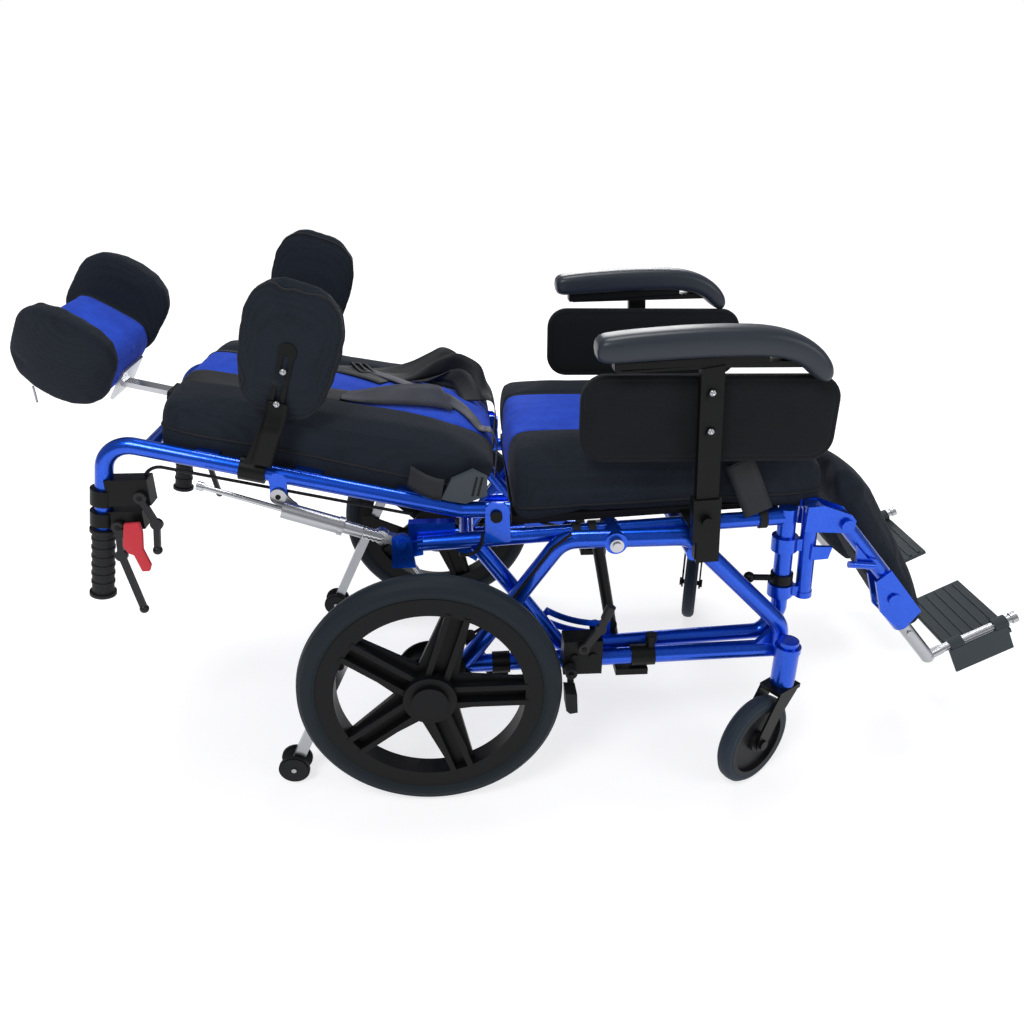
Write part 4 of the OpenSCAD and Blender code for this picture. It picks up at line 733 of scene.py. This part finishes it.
# The back cushion gets thinner towards its seat end
THIN_FROM, THIN_LENGTH, THIN_SHARE, THIN_ABOVE = -190, 170, 0.24, 0.01
hinge = back_at(0, 0, 0)
for v in back.data.vertices:
    hang_skirt(v, back_z, abs(v.co.y - middle_y), (v.co - hinge).dot(back_z), **BACK_SKIRT)
    away = v.co - hinge
    x, z = away.dot(back_x) * MM, away.dot(back_z)
    if x > THIN_FROM and z > THIN_ABOVE:
        v.co -= back_z * (z - THIN_ABOVE) * THIN_SHARE * min(1.0, (x - THIN_FROM) / THIN_LENGTH) ** 2
refine(back, both_seams(seat_origin, y_axis, BACK_STRIPE, 0.0035, 0.004))
refine(head, both_seams(HEAD_CENTRE, head_y, HEAD_STRIPE, 0.002, 0.003))
PAD_STRETCH, PAD_LOWER, PAD_BACKWARD = 1.04, 0.006, 0.008
for s in "rl":
    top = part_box("lateral_pad_" + s)[1][2]
    for v in laterals[s].data.vertices:
        v.co.z = top - PAD_LOWER + (v.co.z - top) * PAD_STRETCH
        v.co.x -= PAD_BACKWARD
    refine(laterals[s])
    refine(calves[s])


# Side panels: padded boards with rounded corners
def rounded(a, b, r, count=9):
    """The outline of a rounded rectangle, as half sizes and corner radius in metres."""
    points = []
    for cx, cz, start in ((a - r, b - r, 0), (r - a, b - r, 90), (r - a, r - b, 180), (a - r, r - b, 270)):
        for k in range(count):
            t = math.radians(start + 90 * k / (count - 1))
            points.append((cx + r * math.cos(t), cz + r * math.sin(t)))
    return points


def padded_board(name, centre, a, b, r, rings, finish, lean):
    """A flat padded board in the X-Z plane. Each ring is how far it lies inside the outline, and its y."""
    verts = []
    for inset, y in rings:
        for x, z in rounded(a - inset, b - inset, max(0.004, r - inset)):
            verts.append(centre + Vector((x, y, z + lean * x)))
    n = len(verts) // len(rings)
    faces = ring_sides(len(rings), n)
    for i in (0, len(rings) - 1):
        verts.append(sum(verts[i * n:(i + 1) * n], Vector()) / n)
        faces += [[len(verts) - 1, i * n + k, i * n + (k + 1) % n] for k in range(n)]
    ob = new_mesh(name, verts, faces, finish)
    face_outward(ob)
    return ob


PANEL_HALF_HEIGHT, PANEL_CORNER, PANEL_LEAN = 0.0635, 0.036, -0.014
# From the rim to the middle of a face: how far inside the outline, and how far off the middle plane, in mm
PANEL_FACE = [(0, 4.0), (0.6, 7.0), (3, 9.4), (6, 10.0), (7.6, 9.2), (9, 10.2), (13, 11.2), (24, 11.4)]
panels = {}
for s in "rl":
    lo, hi = (Vector(corner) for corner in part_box("side_panel_" + s))
    rings = [(i / MM, -y / MM) for i, y in reversed(PANEL_FACE)] + [(i / MM, y / MM) for i, y in PANEL_FACE]
    panels[s] = padded_board("side_panel_" + s + "_cover", (lo + hi) / 2 + Vector((-0.004, 0, 0.0085)),
                             (hi.x - lo.x) / 2 - 0.001, PANEL_HALF_HEIGHT, PANEL_CORNER, rings, panel_cloth,
                             PANEL_LEAN)

for piece, node in ((seat, "seat_cushion"), (back, "back_cushion"), (head, "headrest_cushion"),
                    (laterals["r"], "lateral_pad_r"), (laterals["l"], "lateral_pad_l"),
                    (calves["r"], "calf_pad_r"), (calves["l"], "calf_pad_l"),
                    (panels["r"], "side_panel_r"), (panels["l"], "side_panel_l")):
    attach(piece, body_of[node])
    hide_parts(node)

# Piping along the seams of the cushions
SEAM_SINK, EDGE_SINK = -0.0006, -0.0004
back_trim = []
for o in (-1, 1):
    welt("seat_seam_piping", seat, seat_origin + y_axis * o * SEAT_STRIPE, y_axis, 0.0021, "seat", SEAM_SINK)
    back_trim.append(welt("back_seam_piping", back, seat_origin + y_axis * o * BACK_STRIPE, y_axis, 0.0021,
                          "back", SEAM_SINK))
    welt("head_seam_piping", head, HEAD_CENTRE + head_y * o * HEAD_STRIPE, head_y, 0.0016, "headrest",
         SEAM_SINK)
welt("seat_edge_piping", seat, at(350, 0, 456), seat_z, 0.0024, "seat", EDGE_SINK)
back_trim.append(welt("back_edge_piping", back, back_at(-260, 0, 22), back_z, 0.0024, "back", EDGE_SINK))
LATERAL_OUTER = 0.2092
for s, sg in SIDES:
    lo, hi = (Vector(corner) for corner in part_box("lateral_pad_" + s))
    for inward in (0.0055, 0.0245):
        point = (lo + hi) / 2
        point.y = middle_y + sg * (LATERAL_OUTER - inward)
        welt("lateral_piping_" + s, laterals[s], point, y_axis, 0.0018, "lateral_" + s)


# Arm pads: moulded pads whose front end hooks down, on a black carrier
# Places along the pad: x, z, and half of its thickness and width, in mm
PAD_LINE = [(238, 705, 4, 16), (240, 705, 12, 21), (247, 705, 17, 24.5), (262, 706, 19, 26),
            (300, 709, 20, 26), (373, 713, 20.5, 26), (440, 714, 20, 26), (478, 711.5, 19, 26),
            (508, 704, 18, 26), (530, 692, 17, 25.5), (545, 678, 15.5, 24.5), (553, 668, 12, 22),
            (557, 662, 7, 18), (559, 659.5, 2.5, 12)]
PAD_AROUND, PAD_ROUNDNESS, ARM_Y = 40, 0.62, 250
PLATE_FROM, PLATE_FADE, PLATE_RISE, PLATE_SLOPE = 656, 6, 11, 0.1


def arm_pad(s, sg):
    line = curve_points([Vector((x, z, 0)) for x, z, _, _ in PAD_LINE], 5)
    halves = curve_points([Vector((thick, wide, 0)) for _, _, thick, wide in PAD_LINE], 5)
    verts = []
    for i, (p, half) in enumerate(zip(line, halves)):
        along = (line[min(len(line) - 1, i + 1)] - line[max(0, i - 1)]).normalized()
        up = Vector((-along.y, along.x, 0))
        for k in range(PAD_AROUND):
            t = 2 * math.pi * k / PAD_AROUND
            c, d = (math.copysign(abs(a) ** PAD_ROUNDNESS, a) for a in (math.cos(t), math.sin(t)))
            spot = p + up * half.x * d
            verts.append(at(spot.x, sg * ARM_Y + half.y * c, spot.y))
    faces = ring_sides(len(line), PAD_AROUND) + ring_ends(len(line), PAD_AROUND)
    pad = new_mesh("arm_pad_" + s + "_cover", verts, faces, grey_pad)
    face_outward(pad)
    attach(pad, body_of["arm_pad_" + s])
    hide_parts("arm_pad_" + s)


def arm_post(s):
    """The CAD post again, with its top plate raised and sloped to lie under the pad."""
    post = bpy.data.objects.new("arm_post_" + s + "_shown", nodes["arm_post_" + s].data.copy())
    scene.collection.objects.link(post)
    dress(post, black_paint)
    for v in post.data.vertices:
        x, z = (v.co.x - axle_x) * MM, v.co.z * MM
        v.co.z += ((x - 400) * PLATE_SLOPE + PLATE_RISE) / MM * part_of(z, PLATE_FROM, PLATE_FADE)
    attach(post, body_of["arm_post_" + s])
    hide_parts("arm_post_" + s)


for s, sg in SIDES:
    arm_pad(s, sg)
    arm_post(s)
    carrier = blocky("arm_carrier_" + s, at(368, sg * ARM_Y, 687), Matrix.Rotation(math.radians(-3), 3, "Y"),
                     [((0, 0, 0), (0.21, 0.028, 0.014))], black_paint, 0.002)
    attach(carrier, body_of["arm_pad_" + s])

# Bolt heads with a round socket, on the arm posts and the lateral pads
BOLT_R, BOLT_AROUND = 0.0048, 24
BOLT_PROFILE = [(1, 0), (1, 0.0008), (0.9, 0.0021), (0.62, 0.0029), (0.5, 0.003), (0.46, 0.0012)]
# The left lateral pad stands this much further forward and higher than the right one, in mm
LATERAL_SHIFT = {"r": (0, 0), "l": (-29, 7)}


def bolt_head(name, under, x, z, sg, body):
    """A button head on the outermost face, at a place, of the nodes named."""
    hits = []
    for node in under:
        mesh = nodes[node].data
        tree = BVHTree.FromPolygons([v.co for v in mesh.vertices], [p.vertices for p in mesh.polygons])
        spot = tree.ray_cast(at(x, sg * 600, z), Vector((0, -sg, 0)))[0]
        if spot is not None:
            hits.append(spot)
    hit = max(hits, key=lambda p: sg * p.y)
    profile = [(r * BOLT_R, h) for r, h in BOLT_PROFILE] + [(0.0001, 0.0012)]
    verts = []
    for r, h in profile:
        for k in range(BOLT_AROUND):
            t = 2 * math.pi * k / BOLT_AROUND
            verts.append(hit + Vector((r * math.cos(t), sg * h, r * math.sin(t))))
    faces = ring_sides(len(profile), BOLT_AROUND) + ring_ends(len(profile), BOLT_AROUND)
    head_ob = new_mesh(name, verts, faces, zinc)
    face_outward(head_ob)
    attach(head_ob, body)


for s, sg in SIDES:
    for k, (x, z) in enumerate(((397, 647), (400, 592))):
        bolt_head("arm_bolt_%s%d" % (s, k), ["arm_post_" + s], x, z, sg, body_of["arm_post_" + s])
for s, sg in SIDES:
    dx, dz = LATERAL_SHIFT[s]
    for k, (x, z) in enumerate(((-182, 672), (-196, 627))):
        bolt_head("lateral_bolt_%s%d" % (s, k), ["lateral_pad_" + s, "back_fittings"], x + dx, z + dz, sg,
                  "lateral_" + s)

# Webbing of the harness, laid on the back cushion
back_tree = BVHTree.FromPolygons([v.co for v in back.data.vertices], [p.vertices for p in back.data.polygons])
WEBBING_THICK, BELT_THICK = 0.0016, 0.0018
CUSHION_END_X = -34
HEAD_END_X, HEAD_END_Z, HEAD_END_REACH = -470, 52, 0.2
ABOVE_CUSHION = 260


def back_rays(y0, y1, to_x, steps=46):
    """Rays towards the back cushion, round its head end and on over its top to to_x, from y0 to y1."""
    rays = []
    for degrees in range(180, 94, -8):
        turned = math.radians(degrees)
        way = back_x * math.cos(turned) + back_z * math.sin(turned)
        rays.append((back_at(HEAD_END_X, y0, HEAD_END_Z) + way * HEAD_END_REACH, -way))
    for i in range(steps + 1):
        t = i / steps
        over = back_at(HEAD_END_X + (to_x - HEAD_END_X) * t, y0 + (y1 - y0) * t, ABOVE_CUSHION)
        rays.append((over, -back_z))
    return rays


def on_back(ob):
    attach(ob, "back")
    back_trim.append(ob)


for name, y0, y1, to_x in (("near_shoulder_strap", -78, -72, -250), ("far_shoulder_strap", 78, 84, -215)):
    ob = laid_ribbon(name, back_tree, back_rays(y0, y1, to_x), y_axis, 0.038, WEBBING_THICK, strap_black)
    on_back(ob)


def stands(x, y):
    """How high the back cushion stands at a place, in millimetres of the back frame."""
    hit = back_tree.ray_cast(back_at(x, y, ABOVE_CUSHION), -back_z)[0]
    return 0 if hit is None else (hit - back_at(x, y, 0)).dot(back_z) * MM


def band(name, width, finish, places):
    """Webbing in the frame of the back. A place is x, y, z and the way across the webbing.
    Its z is how far it lies over the cushion, or beyond the cushion's end how far over the frame."""
    centres, ways = [], []
    for x, y, z, way in places:
        centres.append(back_at(x, y, z + stands(x, y) if x < CUSHION_END_X else z))
        ways.append(back_x * way[0] + y_axis * way[1] + back_z * way[2])
    ob = free_ribbon(name, centres, ways, width, WEBBING_THICK, finish)
    on_back(ob)


# The near strap stands up on its edge, folds over and goes down the seat end as a narrow fold
band("near_strap_end", 0.038, strap_grey, [
    (-262, -72, 1.5, (0, 1, 0.02)), (-236, -71, 4, (0, 1, 0.22)), (-205, -69, 9, (0, 1, 0.55)),
    (-170, -66, 15, (0, 1, 0.9)), (-135, -60, 18, (-0.1, 1, 1.1)), (-112, -54, 18, (-0.35, 1, 1.1)),
    (-96, -50, 13, (-0.9, 1, 0.9))])
band("near_strap_fold", 0.026, strap_grey, [
    (-112, -36, 12, (0.5, 1, 0.5)), (-92, -30, 7, (0.3, 1, 0.4)), (-72, -40, 5, (0.4, 1, 0.2)),
    (-54, -60, 4, (0.5, 1, 0)), (-38, -78, 3, (0.3, 1, 0)), (-22, -88, 84, (0, 1, 0)),
    (-8, -92, 62, (0, 1, 0)), (-3, -94, 36, (0, 1, 0)), (0, -95, 14, (0, 1, 0))])
# The far strap runs into a bunch that stands up over the cushion and goes down its seat end
band("far_strap_end", 0.044, strap_black, [
    (-232, 84, 2, (0, 1, 0.05)), (-200, 86, 5, (0, 1, 0.3)), (-165, 92, 16, (-0.1, 1, 0.8)),
    (-132, 102, 30, (-0.3, 0.8, 1)), (-106, 110, 40, (-0.5, 0.4, 1)), (-84, 104, 34, (0.1, 0.5, 1)),
    (-66, 92, 20, (0.5, 0.8, 0.6)), (-50, 82, 6, (0.3, 1, 0))])
band("bunched_strap", 0.046, strap_black, [
    (-212, 52, 3, (0.3, 1, 0)), (-176, 58, 5, (0.5, 1, 0.2)), (-146, 72, 18, (0.6, 0.7, 0.8)),
    (-120, 88, 34, (0.4, 0.3, 1)), (-96, 96, 44, (0.1, -0.2, 1)), (-72, 92, 44, (-0.1, 0.1, 1)),
    (-50, 82, 36, (0.1, 0.5, 1)), (-36, 70, 24, (0.2, 1, 0.6)), (-18, 60, 96, (0, 1, 0.1)),
    (-6, 54, 70, (0, 1, 0)), (-1, 50, 40, (0, 1, 0)), (2, 48, 14, (0, 1, 0))])
band("bunched_strap_end", 0.04, strap_black, [
    (-150, 46, 4, (1, 0.5, 0.1)), (-128, 70, 12, (1, 0.2, 0.5)), (-104, 82, 22, (0.8, 0, 0.8)),
    (-84, 70, 26, (0.6, -0.3, 0.8)), (-68, 48, 18, (0.8, -0.2, 0.5)), (-52, 26, 5, (1, 0, 0.2))])
# The chest strap with its slider buckle, and the loose end under it
band("loose_strap", 0.048, strap_black, [
    (-296, 62, 2, (0.5, 1, 0)), (-262, 50, 3.4, (0.5, 1, 0)), (-226, 34, 3.4, (0.5, 1, 0)),
    (-198, 18, 2, (0.5, 1, 0))])
band("chest_strap", 0.026, strap_grey, [
    (-300, 92, 3, (0.4, 1, 0)), (-266, 84, 5, (0.5, 1, 0)), (-236, 70, 6, (0.6, 1, 0)),
    (-206, 48, 5, (0.7, 1, 0)), (-176, 24, 4, (0.6, 1, 0)), (-148, 6, 3.4, (0.4, 1, 0)),
    (-118, -6, 3, (0.3, 1, 0))])
SLIDER_X, SLIDER_Y, SLIDER_TURN, SLIDER_LIFT = -244, 74, 0.45, 8
with_back = Matrix.Rotation(BACK_ANGLE, 3, "Y")
slider = blocky("slider_buckle", back_at(SLIDER_X, SLIDER_Y, stands(SLIDER_X, SLIDER_Y) + SLIDER_LIFT),
                with_back @ Matrix.Rotation(SLIDER_TURN, 3, "Z"),
                [((0, 0.0235, 0), (0.03, 0.005, 0.005)), ((0, -0.0235, 0), (0.03, 0.005, 0.005)),
                 ((0.0125, 0, 0), (0.005, 0.048, 0.005)), ((-0.0125, 0, 0), (0.005, 0.048, 0.005)),
                 ((0, 0, 0.001), (0.005, 0.048, 0.004))], black_plastic, 0.0008)
on_back(slider)

# Waist strap: from its buckle up and round the side of the back cushion, and the slots of the buckle
WAIST_LINE = [(27, 213.5, 489), (12, 212, 492), (-6, 207, 499), (-22, 202, 508)]
WAIST_ACROSS = Vector((0.2, 0, 0.98))
for _, sg in SIDES:
    line = [at(x, sg * y, z) for x, y, z in WAIST_LINE]
    ob = free_ribbon("waist_strap", line, [WAIST_ACROSS] * len(line), 0.034, BELT_THICK, strap_black)
    on_back(ob)
    for x in (74, 82):
        on_back(blocky("buckle_slot", at(x, sg * 212.3, 493), with_back,
                       [((0, 0, 0), (0.0032, 0.0012, 0.031))], black_plastic, 0.0003))

# Lap strap over the side of the seat cushion
LAP_ACROSS = Vector((0.95, 0, 0.42)).normalized()
LAP_BULGE = 0.002
for _, sg in SIDES:
    top, low_end = at(466, sg * 214, 523), at(503, sg * 219.5, 443)
    line = [top, top.lerp(low_end, 0.35) + y_axis * sg * LAP_BULGE, top.lerp(low_end, 0.7), low_end]
    ob = free_ribbon("lap_strap", line, [LAP_ACROSS] * len(line), 0.044, BELT_THICK, strap_black)
    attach(ob, "seat")

# Zipper pull under the near wing of the head support
zip_from = at(-579, -95, 623)
pull = tube_along("zipper_pull", [zip_from, zip_from + Vector((0.0005, 0, -0.012)),
                                  zip_from + Vector((0.001, -0.001, -0.025))], 0.0016, zinc)
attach(pull, "headrest")

# Wide steel straps of the lateral pads, bent where they leave the back frame: x, z, y in mm
PLATE_LINE = [(-195, 628, 217.5), (-199, 612, 219), (-203, 601, 221.5), (-207, 590, 225.2),
              (-212, 577, 225.6), (-219, 559, 225.6), (-227, 539, 225.2)]
PLATE_ACROSS = Vector((0.96, 0, -0.27))
for s, sg in SIDES:
    dx, dz = LATERAL_SHIFT[s]
    plate = free_ribbon("lateral_strap_" + s, [at(x + dx, sg * y, z + dz) for x, z, y in PLATE_LINE],
                        [PLATE_ACROSS] * len(PLATE_LINE), 0.029, 0.003, black_paint, per=4)
    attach(plate, "back")

# Red parking catch on each brake lever: a flat outline in x and z, in mm
CATCH_OUTLINE = [(-429, 458), (-407, 459), (-405, 443), (-409, 416), (-402, 390), (-406, 380), (-417, 380),
                 (-424, 407), (-431, 410), (-437, 422)]
CATCH_Y, CATCH_HALF = 233, 3.4
for s, sg in SIDES:
    verts = [at(x, sg * y, z) for y in (CATCH_Y - CATCH_HALF, CATCH_Y + CATCH_HALF) for x, z in CATCH_OUTLINE]
    n = len(CATCH_OUTLINE)
    faces = [list(range(n)), list(range(2 * n - 1, n - 1, -1))]
    faces += [[i, i + n, (i + 1) % n + n, (i + 1) % n] for i in range(n)]
    catch = new_mesh("parking_catch_" + s, verts, faces, red_plastic)
    face_outward(catch)
    mod = catch.modifiers.new("Bevel", "BEVEL")
    mod.width, mod.segments = 0.002, 3
    bake(catch)
    smooth(catch)
    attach(catch, "back")

# The back cushion, what lies on it and the calf pads get meshes of their own
for ob in [back] + back_trim:
    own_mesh(ob)
for s in "rl":
    low_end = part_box("calf_pad_" + s)[0]
    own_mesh(calves[s])

# Stage, light and camera: the floor glows white beyond the chair's own shadow
floor_net = Net("floor")
from_middle = floor_net.vector("LENGTH", {0: floor_net.coords}).outputs["Value"]
glow = floor_net.ramp(from_middle, 0.7, 1.3, 0.72, 1.0)
floor_finish = floor_net.set(Base_Color=(0.42, 0.42, 0.43, 1), Roughness=0.9, Specular_IOR_Level=0.0,
                             Emission_Color=(1, 1, 1, 1), Emission_Strength=glow)
bpy.ops.mesh.primitive_plane_add(size=14, location=(0, 0, -0.0005))
floor = bpy.context.object
floor.name = "floor"
floor.data.materials.append(floor_finish)


def area(name, place, target, size, power):
    data = bpy.data.lights.new(name, "AREA")
    data.shape, data.size, data.energy = "DISK", size, power
    ob = bpy.data.objects.new(name, data)
    scene.collection.objects.link(ob)
    ob.location = place
    ob.rotation_euler = (Vector(target) - Vector(place)).to_track_quat("-Z", "Y").to_euler()


area("key", (-1.1, -2.2, 3.0), (0, 0, 0.4), 1.2, 50)
area("fill", (2.4, -2.0, 1.8), (0, 0, 0.4), 1.6, 22)
area("top", (0.1, 0.6, 3.4), (0, 0, 0.4), 1.2, 42)
area("rim", (0.5, 2.6, 1.6), (0, 0, 0.5), 1.2, 22)


def world_light():
    """The camera sees white, and the chair is lit and mirrored by a dim sky."""
    scene.world = bpy.data.worlds.new("studio")
    scene.world.use_nodes = True
    tree = scene.world.node_tree
    tree.nodes.clear()

    def background(color, strength):
        node = tree.nodes.new("ShaderNodeBackground")
        node.inputs["Color"].default_value = color
        node.inputs["Strength"].default_value = strength
        return node.outputs[0]

    out = tree.nodes.new("ShaderNodeOutputWorld")
    path = tree.nodes.new("ShaderNodeLightPath")
    seen = tree.nodes.new("ShaderNodeMath")
    seen.operation = "MAXIMUM"
    mixed = tree.nodes.new("ShaderNodeMixShader")
    for start, end in ((path.outputs["Is Camera Ray"], seen.inputs[0]),
                       (path.outputs["Is Transmission Ray"], seen.inputs[1]),
                       (seen.outputs[0], mixed.inputs[0]),
                       (background((0.93, 0.95, 1.0, 1), 0.3), mixed.inputs[1]),
                       (background((1, 1, 1, 1), 1.0), mixed.inputs[2]),
                       (mixed.outputs[0], out.inputs["Surface"])):
        tree.links.new(start, end)


world_light()
scene.view_settings.view_transform = "Standard"

LENS_MM, SENSOR_MM = 29.09, 36.0
YAW, PITCH = math.radians(3.447), math.radians(24.844)
data = bpy.data.cameras.new("camera")
data.lens, data.sensor_width, data.clip_start = LENS_MM, SENSOR_MM, 0.01
camera = bpy.data.objects.new("camera", data)
scene.collection.objects.link(camera)
look = Vector((math.sin(YAW) * math.cos(PITCH), math.cos(YAW) * math.cos(PITCH), -math.sin(PITCH)))
camera.location = at(61.4, -1332.8, 970.5)
camera.rotation_euler = look.to_track_quat("-Z", "Y").to_euler()
scene.camera = camera
